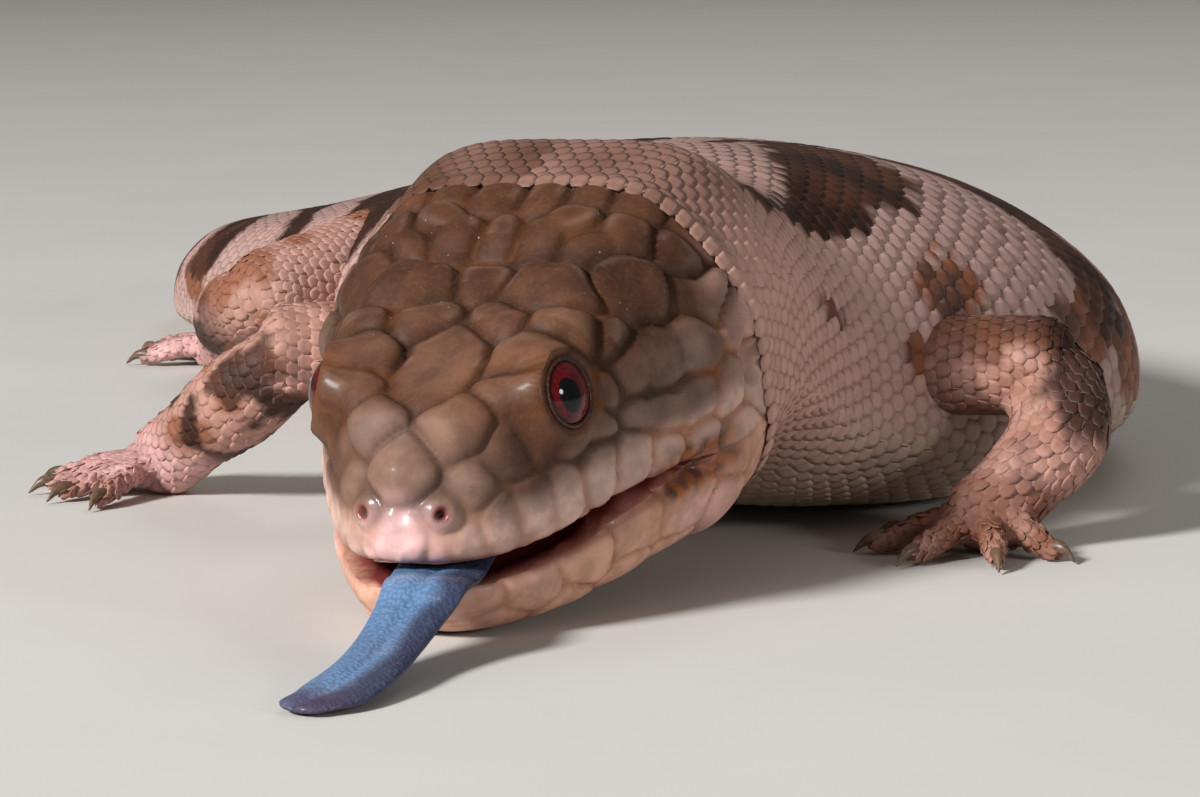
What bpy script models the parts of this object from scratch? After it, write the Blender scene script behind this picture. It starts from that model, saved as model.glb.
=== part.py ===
"""Blue tongued skink, life size: a still model of the whole animal lying on the floor.

Metres, +Z up. The head looks along -Y, the tail runs back along +Y, and the animal's left is +X.
All shapes are worked out in millimetres in the head's or the body's own sections and turned to
metres when a mesh is made. Station s is the distance in millimetres from the snout along the animal.
"""
import math

import bmesh
import bpy
import numpy as np
from mathutils import Matrix, Vector

# Sizes in millimetres and angles in degrees
MM = 0.001
GAP = 0.3                    # clear gap between touching nodes
HEAD_YAW = 19.2              # head turned to the animal's right
HEAD_PITCH = 16.26           # snout pointing down
HEAD_ROLL = 1.68
SNOUT_HEIGHT = 11.8          # height of the head's own origin above the floor
HEAD_END = 56.0              # station of the cut behind the head
NECK_BLEND = (58.0, 88.0)    # stations between which the head's frame turns into the body's
BODY_CUTS = (82.0, 138.0, 196.0, 250.0, 292.0)
TAIL_CUTS = (350.0, 412.0)
TAIL_END = 482.0
EYE_CENTRE = (-22.3, 12.2, 8.4)
EYE_RADIUS = 4.5
LID_RADIUS = 4.35            # ring of the lids, middle of the rim
LID_THICKNESS = 1.0
NOSTRIL = (-5.6, 4.7, 1.6)
NOSTRIL_RADIUS = 1.0
EAR = (-51.5, 26.2, 0.5)
EAR_SIZE = (2.4, 2.6, 3.4)
GROOVE = 0.5                 # half the groove between two shields
SHIELD_RISE = 0.9            # height of a shield's middle over the skin
SHIELD_RIM = 0.45
SHIELD_GRAIN = 4.3           # how strongly a shield's size pushes its neighbours back
CHART_HALF = 52.0            # half width given to the head's chart, crown to throat
EDGE_LENGTH = 4.4            # longest straight piece of a shield's outline

# Heading of the body's middle line, degrees from +Y toward +X, by station
HEADINGS = ((58, 21.4), (80, 25), (100, 25), (120, 18), (140, 8), (160, -2), (180, -13), (200, -25),
            (220, -35), (240, -41), (272, -43), (295, -40), (320, -25), (350, 5), (380, 30),
            (410, 45), (450, 50), (482, 38))

# Head sections: station, top z, brow edge y z, side y z, upper lip y z, lower lip y z,
# jaw side y z, throat z, all in the head's own frame
HEAD_SECTIONS = (
    (3.0, -3.2, 0.3, -3.25, 0.5, -3.4, 0.6, -3.5, 0.5, -3.65, 0.3, -3.75, -3.8),
    (3.4, -0.8, 1.4, -1.1, 2.3, -2.3, 2.6, -3.7, 2.3, -4.7, 1.3, -5.4, -5.7),
    (4.0, 1.0, 2.3, 0.6, 3.8, -1.2, 4.3, -3.9, 4.0, -6.2, 2.5, -7.4, -7.9),
    (5.0, 3.4, 3.2, 2.6, 5.2, -0.2, 5.9, -4.2, 5.7, -7.2, 4.0, -10.0, -11.0),
    (6.5, 5.6, 4.1, 4.6, 6.8, 1.0, 7.6, -4.6, 7.4, -7.6, 5.6, -12.2, -13.4),
    (9.0, 7.9, 5.3, 6.8, 8.7, 2.6, 9.7, -5.2, 9.6, -8.1, 7.8, -13.4, -15.2),
    (12.0, 10.4, 7.0, 9.1, 10.4, 4.0, 11.4, -5.7, 11.3, -8.4, 9.7, -14.2, -16.4),
    (16.0, 11.6, 9.2, 11.0, 12.8, 5.2, 13.9, -5.9, 13.8, -8.6, 12.2, -15.0, -17.5),
    (22.5, 12.1, 11.6, 13.2, 15.9, 6.5, 17.2, -5.5, 17.1, -8.4, 15.2, -15.6, -18.6),
    (30.0, 14.9, 12.6, 15.6, 19.0, 7.6, 20.4, -5.2, 20.3, -8.0, 18.0, -16.0, -19.7),
    (38.0, 17.2, 13.2, 16.6, 21.8, 7.0, 23.0, -6.2, 23.0, -8.0, 20.6, -16.4, -20.8),
    (46.0, 19.6, 14.0, 18.3, 24.1, 6.5, 25.2, -5.8, 25.2, -9.0, 22.4, -16.6, -21.3),
    (55.0, 21.2, 15.0, 19.5, 25.4, 6.2, 26.4, -5.0, 26.3, -9.5, 22.6, -16.3, -20.8),
    (66.0, 22.4, 16.4, 20.4, 26.2, 6.0, 27.2, -4.5, 27.0, -9.5, 22.0, -16.0, -19.6),
)

# Body sections: station, half width, top of the back, underside, fullness of the back
BODY_SECTIONS = (
    (80, 28.5, 48.4, 7.0, 2.3), (100, 34.5, 49.0, 1.6, 2.2), (120, 43.5, 47.6, -0.6, 2.05),
    (145, 50.5, 44.8, -0.6, 1.92), (170, 52.5, 43.2, -0.6, 1.9), (195, 50.5, 42.6, -0.6, 1.9),
    (220, 46.0, 41.0, -0.6, 1.95), (245, 38.5, 37.0, -0.6, 2.0), (265, 31.5, 32.6, -0.6, 2.0),
    (285, 24.5, 28.2, -0.6, 2.0), (300, 20.6, 25.2, -0.6, 2.0), (330, 16.6, 20.6, -0.5, 2.0),
    (370, 12.4, 15.6, -0.5, 2.0), (410, 8.7, 11.1, -0.4, 2.0), (450, 4.9, 6.8, -0.3, 2.0),
    (474, 2.3, 3.5, -0.2, 2.0), (482, 0.5, 1.3, 0.3, 2.0),
)
WIDEST_LEVEL = 0.31          # height of the flank's widest line as a part of the body's height
SECTION_ANGLES = (90.0, 57.0, 25.0, 2.0, -16.0, -52.0, -90.0)
BELLY_FULLNESS = 3.0

# Mouth: station, upper lip line z, lower lip line z in the head's frame
MOUTH_LINE = ((0.0, -3.9, -7.3), (5.0, -4.2, -7.3), (9.0, -5.2, -8.1), (14.0, -5.9, -8.6),
              (20.0, -5.7, -8.5), (27.0, -5.4, -7.8), (33.0, -5.7, -7.3), (38.5, -6.5, -7.1),
              (40.5, -7.1, -7.4), (46.0, -13.0, -13.3), (50.5, -30.0, -30.3))
MOUTH_HOLLOW = (10.0, 34.0)  # stations between which the mouth is hollowed behind the lips

# Tongue: points of its middle line, half width and half thickness. The first three points are
# in the head's frame, the others stand in the world's axes.
TONGUE_IN_HEAD = ((-24.0, 0.6, -7.1, 5.2, 1.3), (-12.0, 1.8, -7.0, 5.3, 1.05), (-5.0, 3.2, -5.75, 5.2, 1.1))
TONGUE_OUT = ((4.4, -1.3, 7.9, 4.9, 1.4), (2.9, -5.0, 5.6, 4.3, 1.5), (0.9, -11.0, 3.4, 4.0, 1.4),
              (-1.2, -18.6, 2.2, 4.1, 1.3), (-3.9, -24.6, 1.2, 4.3, 1.1), (-6.6, -28.2, 0.9, 3.2, 0.9))

# Limbs: upper length from inside the body to the elbow or knee, then the lower length to the palm
# or sole, as points of the middle line in world millimetres with half width and half height
LIMBS = {
    "arm_left": (
        ((40, 92, 21, 8.0, 9.5), (51, 86, 20.5, 8.0, 9.0),
         (65, 81, 21, 6.8, 7.2), (79, 77.5, 21.5, 6.6, 7.0)),
        ((81, 76, 19, 5.8, 6.2), (80.5, 71, 13.5, 6.5, 6.7),
         (75.5, 67, 8.5, 5.6, 5.4), (71, 64.5, 4.0, 6.2, 4.2)),
    ),
    "arm_right": (
        ((20, 103, 21, 8.0, 9.5), (8, 101, 20.5, 8.0, 9.0),
         (-5, 98, 21, 6.8, 7.2), (-17, 96, 21, 6.6, 7.0)),
        ((-19, 97, 18.5, 5.8, 6.2), (-25, 101, 13.5, 6.5, 6.7),
         (-31, 106, 8.5, 5.6, 5.4), (-36, 111, 4.0, 6.2, 4.2)),
    ),
    "leg_left": (
        ((12, 252, 17, 11.5, 11.0), (27, 259, 17, 11.0, 10.5),
         (43, 255, 16.5, 8.8, 8.8), (55, 249, 15.5, 7.4, 7.6)),
        ((57, 250, 14, 6.4, 6.6), (62, 258, 11, 7.0, 6.8),
         (66, 269, 7.2, 5.6, 5.2), (69, 275, 3.6, 6.4, 3.8)),
    ),
    "leg_right": (
        ((4, 243, 17, 11.5, 11.0), (-12, 231, 17, 11.0, 10.5),
         (-22, 220, 16.5, 8.8, 8.8), (-30, 212, 15.5, 7.4, 7.6)),
        ((-32, 213, 14, 6.4, 6.6), (-36, 220, 11, 7.0, 6.8),
         (-38.5, 232, 7.2, 5.6, 5.2), (-40, 238, 3.6, 6.4, 3.8)),
    ),
}
WRIST = 2.4                  # where the lower length is parted from the palm, counted in its points
# Digits: heading in degrees from +X toward +Y, length, by hand or foot
DIGITS = {
    "hand_left": ((71, 64.5), ((150, 12), (188, 13.5), (226, 14), (270, 13), (316, 10.5))),
    "hand_right": ((-37, 111.5), ((250, 16.5), (222, 14.5), (196, 14), (166, 13.5), (130, 11))),
    "foot_left": ((69, 275), ((120, 11), (86, 14), (58, 17), (32, 18), (-8, 13))),
    "foot_right": ((-40, 238), ((74, 10.5), (94, 13.5), (114, 17), (136, 18), (172, 13))),
}
DIGIT_RADIUS = 1.9
CLAW_LENGTH = 3.4

# Shields: name, distance along the crown from the lip, distance over from the midline, a size
# that lets big plates win ground, and how much of the full rise the plate has. Those off the
# midline stand on both sides.
SHIELDS = (
    ("rostral", 3.0, 0.0, 1.0, 1.0), ("nasal", 6.6, 4.7, 0.95, 1.0),
    ("frontonasal", 11.2, 0.0, 1.25, 1.2), ("prefrontal", 17.3, 4.4, 1.15, 1.0),
    ("frontal", 26.4, 0.0, 1.5, 1.0), ("supraocular_1", 22.0, 9.2, 0.9, 1.0),
    ("supraocular_2", 27.2, 9.4, 1.05, 1.0), ("supraocular_3", 32.4, 9.6, 1.0, 1.0),
    ("supraocular_4", 34.0, 14.8, 0.75, 0.8), ("frontoparietal", 36.4, 4.3, 0.95, 1.0),
    ("interparietal", 42.3, 0.0, 0.85, 1.0), ("parietal", 42.0, 8.2, 1.25, 1.2),
    ("upper_temporal", 45.6, 16.8, 1.2, 1.0), ("oblong_temporal", 53.2, 24.0, 1.0, 1.0),
    ("nuchal_0", 50.0, 0.0, 0.75, 1.0), ("nuchal_1", 51.8, 6.5, 1.0, 1.0),
    ("nuchal_2", 52.0, 13.6, 1.0, 1.0), ("nuchal_3", 59.2, 3.0, 1.0, 0.9),
    ("nuchal_4", 59.2, 10.4, 1.0, 0.9), ("nuchal_5", 60.0, 18.0, 1.0, 0.9),
    ("temporal_1", 43.4, 25.0, 1.2, 0.9), ("temporal_2", 42.4, 30.6, 1.1, 0.9),
    ("nape_side_1", 59.0, 30.8, 1.0, 0.7), ("nape_side_2", 55.0, 36.6, 1.0, 0.6),
    ("nape_side_3", 57.0, 43.6, 1.0, 0.5), ("loreal_1", 12.4, 9.0, 0.9, 0.8),
    ("loreal_2", 17.4, 12.2, 0.95, 0.7), ("loreal_3", 21.6, 15.2, 0.8, 0.6),
    ("subocular", 25.0, 20.6, 0.7, 0.5), ("eye", 28.2, 16.4, 1.0, 0.0), ("labial_1", 5.2, 7.6, 0.9, 0.6),
    ("labial_2", 10.0, 13.0, 0.9, 0.6), ("labial_3", 14.6, 17.8, 0.9, 0.6),
    ("labial_4", 19.0, 21.8, 0.9, 0.6), ("labial_5", 23.6, 25.2, 0.9, 0.6),
    ("labial_6", 28.6, 27.4, 0.95, 0.6), ("labial_7", 35.6, 32.2, 1.1, 0.6),
    ("labial_8", 44.6, 37.6, 0.95, 0.6), ("jaw_1", 10.0, 18.8, 1.0, 0.6),
    ("jaw_2", 17.4, 27.6, 1.05, 0.6), ("jaw_3", 25.2, 34.2, 1.05, 0.6), ("jaw_4", 33.4, 39.4, 1.05, 0.6),
    ("jaw_5", 42.6, 44.4, 1.05, 0.6), ("chin_1", 15.0, 33.0, 1.0, 0.4), ("chin_2", 24.0, 43.0, 1.1, 0.4),
    ("chin_3", 33.0, 48.5, 1.1, 0.4), ("throat_1", 42.5, 53.0, 1.1, 0.3),
    ("throat_2", 52.0, 54.0, 1.1, 0.3), ("throat_3", 60.0, 56.0, 1.0, 0.3),
    ("throat_4", 38.0, 60.0, 1.0, 0.3), ("throat_5", 50.0, 62.0, 1.0, 0.3),
)

SKIN_COLOURS = {
    "head": (0.33, 0.24, 0.18), "lower_jaw": (0.72, 0.55, 0.47), "neck": (0.62, 0.50, 0.45),
    "torso": (0.62, 0.48, 0.43), "tail": (0.50, 0.36, 0.30), "limb": (0.42, 0.27, 0.21),
    "tongue": (0.16, 0.28, 0.46), "eye": (0.20, 0.015, 0.012),
}


def pchip(xs, ys, x):
    """Values at x of the smooth curve without overshoot through the rows (xs, ys)."""
    xs = np.asarray(xs, float)
    ys = np.asarray(ys, float)
    step = np.diff(xs)
    slope = np.diff(ys, axis=0) / (step[:, None] if ys.ndim > 1 else step)
    tangent = np.zeros_like(ys)
    same = slope[:-1] * slope[1:] > 0
    with np.errstate(divide="ignore", invalid="ignore"):
        mean = 2 * slope[:-1] * slope[1:] / (slope[:-1] + slope[1:])
    tangent[1:-1] = np.where(same, mean, 0.0)
    tangent[0], tangent[-1] = slope[0], slope[-1]
    i = np.clip(np.searchsorted(xs, x, side="right") - 1, 0, len(xs) - 2)
    t = np.clip((np.asarray(x, float) - xs[i]) / step[i], 0.0, 1.0)
    h = step[i]
    if ys.ndim > 1:
        t, h = np.expand_dims(t, -1), np.expand_dims(h, -1)
    return ((1 + 2 * t) * (1 - t) ** 2 * ys[i] + t * (1 - t) ** 2 * h * tangent[i]
            + t * t * (3 - 2 * t) * ys[i + 1] + t * t * (t - 1) * h * tangent[i + 1])


def unit(v):
    """The vector v at length one."""
    v = np.asarray(v, float)
    return v / np.linalg.norm(v, axis=-1, keepdims=True)


def smooth(t):
    """Smooth step from 0 to 1."""
    t = np.clip(t, 0.0, 1.0)
    return t * t * (3 - 2 * t)


def head_axes():
    """Forward, left and up of the head."""
    yaw, pitch, roll = (math.radians(a) for a in (HEAD_YAW, HEAD_PITCH, HEAD_ROLL))
    level = np.array((-math.sin(yaw), -math.cos(yaw), 0.0))
    forward = level * math.cos(pitch) - np.array((0.0, 0.0, math.sin(pitch)))
    across = np.array((math.cos(yaw), -math.sin(yaw), 0.0))
    left = across * math.cos(roll) + np.cross(forward, across) * math.sin(roll)
    return forward, left, np.cross(forward, left)


HEAD_FORWARD, HEAD_LEFT, HEAD_UP = head_axes()
HEAD_ORIGIN = np.array((0.0, 0.0, SNOUT_HEIGHT))


def from_head(x, y, z):
    """World millimetres of a point given in the head's frame."""
    return HEAD_ORIGIN + x * HEAD_FORWARD + y * HEAD_LEFT + z * HEAD_UP


def body_path():
    """Middle line of the body in plan, one row of X, Y for each millimetre from the neck back."""
    stations = np.arange(NECK_BLEND[0], TAIL_END + 1.0)
    table = np.array(HEADINGS, float)
    heading = np.radians(pchip(table[:, 0], table[:, 1], stations))
    steps = np.stack((np.sin(heading), np.cos(heading)), 1)
    start = from_head(-NECK_BLEND[0], 0, 0)[:2]
    walked = np.vstack((np.zeros(2), np.cumsum((steps[1:] + steps[:-1]) / 2, axis=0)))
    return stations, start + walked, heading


PATH_S, PATH_XY, PATH_HEADING = body_path()
BODY = np.array(BODY_SECTIONS, float)


def spine(s):
    """Point, left and up of the section at station s."""
    head = from_head(-s, 0, 0)
    if s <= NECK_BLEND[0]:
        return head, HEAD_LEFT, HEAD_UP
    xy = np.array([np.interp(s, PATH_S, PATH_XY[:, i]) for i in (0, 1)])
    heading = np.interp(s, PATH_S, PATH_HEADING)
    top, under = pchip(BODY[:, 0], BODY[:, 2:4], max(s, BODY[0, 0]))
    body = np.array((xy[0], xy[1], (top + under) / 2))
    w = smooth((s - NECK_BLEND[0]) / (NECK_BLEND[1] - NECK_BLEND[0]))
    left = unit((1 - w) * HEAD_LEFT + w * np.array((math.cos(heading), -math.sin(heading), 0.0)))
    up = (1 - w) * HEAD_UP + w * np.array((0.0, 0.0, 1.0))
    up = unit(up - left * (up @ left))
    return (1 - w) * head + w * body, left, up


def body_controls(half_width, top, under, fullness):
    """Seven points y, z down one side of a body section about its middle height."""
    height = top - under
    level = height * (WIDEST_LEVEL - 0.5)
    points = []
    for angle in SECTION_ANGLES:
        a = math.radians(angle)
        power = 2 / (fullness if angle > 0 else BELLY_FULLNESS)
        reach = height / 2 - level if angle > 0 else height / 2 + level
        points.append((half_width * max(math.cos(a), 0.0) ** power,
                       level + math.copysign(abs(math.sin(a)) ** power, a) * reach))
    return points


def control_table():
    """Stations, and for each its seven section points y, z."""
    rows = []
    for r in HEAD_SECTIONS:
        rows.append((r[0], [(0.0, r[1])] + [(r[i], r[i + 1]) for i in (2, 4, 6, 8, 10)] + [(0.0, r[12])]))
    for s, half_width, top, under, fullness in BODY_SECTIONS:
        rows.append((s, body_controls(half_width, top, under, fullness)))
    return np.array([r[0] for r in rows], float), np.array([r[1] for r in rows], float)


STATIONS, CONTROLS = control_table()


def section(s, ks):
    """Points y, z of the left half section at station s; k runs 0 at the crown to 6 at the belly."""
    p = pchip(STATIONS, CONTROLS.reshape(len(STATIONS), -1), s).reshape(7, 2)
    p = np.vstack((p[1] * (-1, 1), p, p[5] * (-1, 1)))
    d = np.maximum(np.linalg.norm(np.diff(p, axis=0), axis=1), 1e-6) ** 0.5
    ks = np.asarray(ks, float)
    i = np.clip(ks.astype(int), 0, 5)
    t = (ks - i)[:, None]
    a, b, c, e = p[i], p[i + 1], p[i + 2], p[i + 3]
    da, db, dc = d[i][:, None], d[i + 1][:, None], d[i + 2][:, None]
    mb = ((b - a) / da - (c - a) / (da + db) + (c - b) / db) * db
    mc = ((c - b) / db - (e - b) / (db + dc) + (e - c) / dc) * db
    return ((1 + 2 * t) * (1 - t) ** 2 * b + t * (1 - t) ** 2 * mb
            + t * t * (3 - 2 * t) * c + t * t * (t - 1) * mc)


def skin_point(s, k, side=1):
    """World millimetres of the skin at station s, section place k, on the left (1) or right (-1)."""
    point, left, up = spine(s)
    y, z = section(s, [k])[0]
    return point + side * y * left + z * up


def ring(s, ks, shift=0.0):
    """Closed ring of the section at station s, shifted back by shift millimetres, crown first."""
    point, left, up = spine(s)
    back = -np.cross(left, up)
    half = section(s, ks)
    yz = np.vstack((half, half[-2:0:-1] * (-1, 1)))
    ring_points = point + back * shift + yz[:, :1] * left + yz[:, 1:] * up
    ring_points[:, 2] = np.maximum(ring_points[:, 2], 0.0)
    return ring_points


def mesh_object(name, verts, faces, collection):
    """New object from millimetre points, its faces turned out."""
    mesh = bpy.data.meshes.new(name)
    mesh.from_pydata([tuple(v * MM) for v in verts], [], faces)
    bm = bmesh.new()
    bm.from_mesh(mesh)
    bmesh.ops.remove_doubles(bm, verts=bm.verts, dist=4e-6)
    bmesh.ops.recalc_face_normals(bm, faces=bm.faces)
    if bm.calc_volume(signed=True) < 0:
        bmesh.ops.reverse_faces(bm, faces=bm.faces)
    bm.to_mesh(mesh)
    bm.free()
    obj = bpy.data.objects.new(name, mesh)
    collection.objects.link(obj)
    return obj


def loft(name, rings, collection):
    """Closed body through rings of equal count, its two ends capped."""
    count = len(rings[0])
    verts = np.vstack(rings)
    faces = []
    for r in range(len(rings) - 1):
        for i in range(count):
            j = (i + 1) % count
            faces.append((r * count + i, r * count + j, (r + 1) * count + j, (r + 1) * count + i))
    faces.append(tuple(range(count)))
    faces.append(tuple(range((len(rings) - 1) * count, len(rings) * count)))
    return mesh_object(name, verts, faces, collection)


def body_part(name, start, end, spacing, counts, collection, gap_start=True, gap_end=True):
    """Length of the body between two stations, with half the gap taken off each cut end."""
    ks = np.concatenate([np.linspace(i, i + 1, n, endpoint=False) for i, n in enumerate(counts)] + [[6.0]])
    stations = np.linspace(start, end, max(2, round((end - start) / spacing) + 1))
    rings = [ring(s, ks) for s in stations]
    rings[0] = ring(start, ks, GAP / 2 if gap_start else 0.0)
    rings[-1] = ring(end, ks, -GAP / 2 if gap_end else 0.0)
    return loft(name, rings, collection)


def curve(points, ts):
    """Smooth curve through rows of numbers at the places ts, counted in rows."""
    p = np.asarray(points, float)
    p = np.vstack((2 * p[0] - p[1], p, 2 * p[-1] - p[-2]))
    ts = np.asarray(ts, float)
    i = np.clip(ts.astype(int), 0, len(p) - 4)
    t = (ts - i)[:, None]
    a, b, c, d = p[i], p[i + 1], p[i + 2], p[i + 3]
    square, cube = 2 * a - 5 * b + 4 * c - d, 3 * b - a - 3 * c + d
    return 0.5 * (2 * b + (c - a) * t + square * t ** 2 + cube * t ** 3)


def tube_rings(points, ts, around, side_hint, grow=0.0, shifts=None):
    """Rings of an oval tube along the curve; each row holds x, y, z, half width, half height."""
    rows = curve(points, ts)
    ahead = curve(points, np.asarray(ts) + 0.02)
    behind = curve(points, np.asarray(ts) - 0.02)
    rings = []
    for n in range(len(rows)):
        tangent = unit(ahead[n, :3] - behind[n, :3])
        side = np.asarray(side_hint, float)
        side = unit(side - tangent * (side @ tangent))
        up = np.cross(tangent, side)
        angles = np.arange(around) * 2 * math.pi / around
        points_ring = (rows[n, :3] + (shifts[n] if shifts is not None else 0.0) * tangent
                       + np.outer(np.cos(angles), side) * (rows[n, 3] + grow)
                       + np.outer(np.sin(angles), up) * (rows[n, 4] + grow))
        points_ring[:, 2] = np.maximum(points_ring[:, 2], 0.0)
        rings.append(points_ring)
    return rings


def mesh_state(mesh):
    """Volume in cubic millimetres and whether the mesh is closed."""
    bm = bmesh.new()
    bm.from_mesh(mesh)
    closed = len(bm.faces) > 3 and all(len(e.link_faces) == 2 for e in bm.edges)
    volume = bm.calc_volume(signed=True) * 1e9
    bm.free()
    return volume, closed


def boolean(obj, other, operation):
    """Apply one Boolean of other (an object or a collection) on obj, kept only if a body is left."""
    before, _ = mesh_state(obj.data)
    low, high = (before * 0.98, before * 2.5) if operation == "UNION" else (before * 0.3, before * 1.001)
    for solver in ("EXACT", "MANIFOLD"):
        mod = obj.modifiers.new("cut", "BOOLEAN")
        mod.operation = operation
        mod.solver = solver
        if isinstance(other, bpy.types.Collection):
            mod.operand_type = "COLLECTION"
            mod.collection = other
        else:
            mod.object = other
        mesh = bpy.data.meshes.new_from_object(obj.evaluated_get(bpy.context.evaluated_depsgraph_get()))
        obj.modifiers.remove(mod)
        volume, closed = mesh_state(mesh)
        if closed and low <= volume <= high:
            obj.data = mesh
            return True
    print("left out:", obj.name, operation, other.name)
    return False


def loose_parts(obj):
    """Vertex sets of the separate closed surfaces of an object."""
    bm = bmesh.new()
    bm.from_mesh(obj.data)
    bm.verts.ensure_lookup_table()
    seen, parts = set(), []
    for v in bm.verts:
        if v.index in seen:
            continue
        stack, part = [v], []
        seen.add(v.index)
        while stack:
            w = stack.pop()
            part.append(w.index)
            for e in w.link_edges:
                o = e.other_vert(w)
                if o.index not in seen:
                    seen.add(o.index)
                    stack.append(o)
        parts.append(part)
    bm.free()
    return sorted(parts, key=len, reverse=True)


def keep_part(obj, verts):
    """Remove everything but the given vertices."""
    keep = set(verts)
    bm = bmesh.new()
    bm.from_mesh(obj.data)
    bmesh.ops.delete(bm, geom=[v for v in bm.verts if v.index not in keep], context="VERTS")
    bm.to_mesh(obj.data)
    bm.free()


def ball(name, centre, radii, collection, segments=20, rings=12, axes=None):
    """Closed ellipsoid; centre and radii in millimetres, turned to axes when given."""
    bm = bmesh.new()
    bmesh.ops.create_uvsphere(bm, u_segments=segments, v_segments=rings, radius=1.0)
    turn = np.eye(3) if axes is None else np.array(axes)
    for v in bm.verts:
        p = np.asarray(centre, float) + (np.array(v.co) * radii) @ turn
        v.co = Vector(p * MM)
    mesh = bpy.data.meshes.new(name)
    bmesh.ops.recalc_face_normals(bm, faces=bm.faces)
    bm.to_mesh(mesh)
    bm.free()
    obj = bpy.data.objects.new(name, mesh)
    collection.objects.link(obj)
    return obj


def crown_chart():
    """Stations against distance along the crown from the lip, and over from the midline by place k."""
    stations = np.concatenate((np.linspace(3.0, 9.0, 25), np.linspace(9.5, 66.0, 80)))
    ks = np.linspace(0, 6, 49)
    rows = np.array([section(s, ks) for s in stations])
    crown = np.stack((stations, rows[:, 0, 1]), 1)
    along = np.concatenate(([0.0], np.cumsum(np.linalg.norm(np.diff(crown, axis=0), axis=1))))
    over = np.concatenate((np.zeros((len(rows), 1)),
                           np.cumsum(np.linalg.norm(np.diff(rows, axis=1), axis=2), axis=1)), axis=1)
    return stations, along, ks, over


CHART_S, CHART_ALONG, CHART_K, CHART_OVER = crown_chart()


def over_limit(along):
    """Distance over from the crown's midline to the throat's, at a place along the crown."""
    return np.interp(along, CHART_ALONG, CHART_OVER[:, -1])


def chart_point(x, y):
    """World point and outward direction of the skin at x along and y over on the even chart."""
    def at(q, a):
        s = np.interp(q, CHART_ALONG, CHART_S)
        place = np.interp(s, CHART_S, np.arange(len(CHART_S)))
        i = min(int(place), len(CHART_S) - 2)
        row = CHART_OVER[i] + (CHART_OVER[i + 1] - CHART_OVER[i]) * (place - i)
        k = np.interp(abs(a) / CHART_HALF * row[-1], row, CHART_K)
        return skin_point(s, k, 1 if a >= 0 else -1)
    q, a = max(x, 0.9), max(-CHART_HALF + 0.5, min(CHART_HALF - 0.5, y))
    d_along = at(q + 0.3, a) - at(q - 0.3, a)
    d_over = at(q, a + 0.5) - at(q, a - 0.5)
    return at(x, y), unit(np.cross(d_over, -d_along))


def shield_seeds():
    """Place on the even chart, ground won and rise of every shield on both sides."""
    seeds = []
    for name, along, over, size, rise in SHIELDS:
        for side in ((1, -1) if over > 0 else (1,)):
            y = side * min(over / over_limit(along), 0.93) * CHART_HALF
            seeds.append((along, y, (SHIELD_GRAIN * size) ** 2, rise))
    return seeds


def shield_cell(n, seeds, end):
    """Outline of one shield: the ground nearer to its seed than to any other, by weight."""
    x, y, weight, _ = seeds[n]
    poly = [(0.0, -CHART_HALF), (end, -CHART_HALF), (end, CHART_HALF), (0.0, CHART_HALF)]
    for m, (ox, oy, other, _) in enumerate(seeds):
        if m == n:
            continue
        dx, dy = ox - x, oy - y
        dist = math.hypot(dx, dy)
        limit = (dist * dist + weight - other) / (2 * dist)
        dx, dy = dx / dist, dy / dist
        cut = []
        for i, (px, py) in enumerate(poly):
            qx, qy = poly[(i + 1) % len(poly)]
            a = (px - x) * dx + (py - y) * dy - limit
            b = (qx - x) * dx + (qy - y) * dy - limit
            if a <= 0:
                cut.append((px, py))
            if a * b < 0:
                t = a / (a - b)
                cut.append((px + (qx - px) * t, py + (qy - py) * t))
        poly = cut
    return poly


def divided(poly):
    """The outline with long edges divided, the same way from either side of an edge."""
    points = []
    for i, a in enumerate(poly):
        b = poly[(i + 1) % len(poly)]
        if math.dist(a, b) < 1e-4:
            continue
        length = np.linalg.norm(chart_point(*a)[0] - chart_point(*b)[0])
        count = max(1, math.ceil(round(length, 3) / EDGE_LENGTH))
        for j in range(count):
            points.append((a[0] + (b[0] - a[0]) * j / count, a[1] + (b[1] - a[1]) * j / count))
    return np.array(points)


def head_shell(collection):
    """Closed head with its shields standing over the grooves between them."""
    seeds = shield_seeds()
    end = float(np.interp(HEAD_END - GAP, CHART_S, CHART_ALONG))
    verts, faces, rims = [], [], ([], [])
    for n in range(len(seeds)):
        cell = shield_cell(n, seeds, end)
        if len(cell) < 3:
            continue
        outline = divided(cell)
        centre = outline.mean(axis=0)
        reach = np.mean([np.linalg.norm(chart_point(*q)[0] - chart_point(*centre)[0]) for q in outline])
        rise = seeds[n][3]
        base, count = len(verts), len(outline)
        steps = ((1.0, 0.0), (1 - GROOVE / reach, SHIELD_RIM * rise), (0.62, SHIELD_RISE * 0.86 * rise))
        for scale, lift in steps:
            for q in outline:
                p, out = chart_point(*(centre + (q - centre) * scale))
                verts.append(p + out * lift)
                for rim, x in zip(rims, (0.0, end)):
                    if scale == 1.0 and abs(q[0] - x) < 1e-6:
                        rim.append((q[1], len(verts) - 1))
        p, out = chart_point(*centre)
        verts.append(p + out * SHIELD_RISE * rise)
        for r in range(2):
            for i in range(count):
                j = (i + 1) % count
                faces.append((base + r * count + i, base + r * count + j,
                              base + (r + 1) * count + j, base + (r + 1) * count + i))
        top = base + 2 * count
        faces += [(top + i, top + (i + 1) % count, top + count) for i in range(count)]
    verts = np.array(verts)
    verts[:, 2] = np.maximum(verts[:, 2], 0.0)
    for rim in rims:
        cap = []
        for _, i in sorted(rim):
            if not cap or np.linalg.norm(verts[i] - verts[cap[-1]]) > 0.005:
                cap.append(i)
        if np.linalg.norm(verts[cap[0]] - verts[cap[-1]]) < 0.005:
            cap.pop()
        faces.append(tuple(cap))
    return mesh_object("head", verts, faces, collection)


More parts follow.
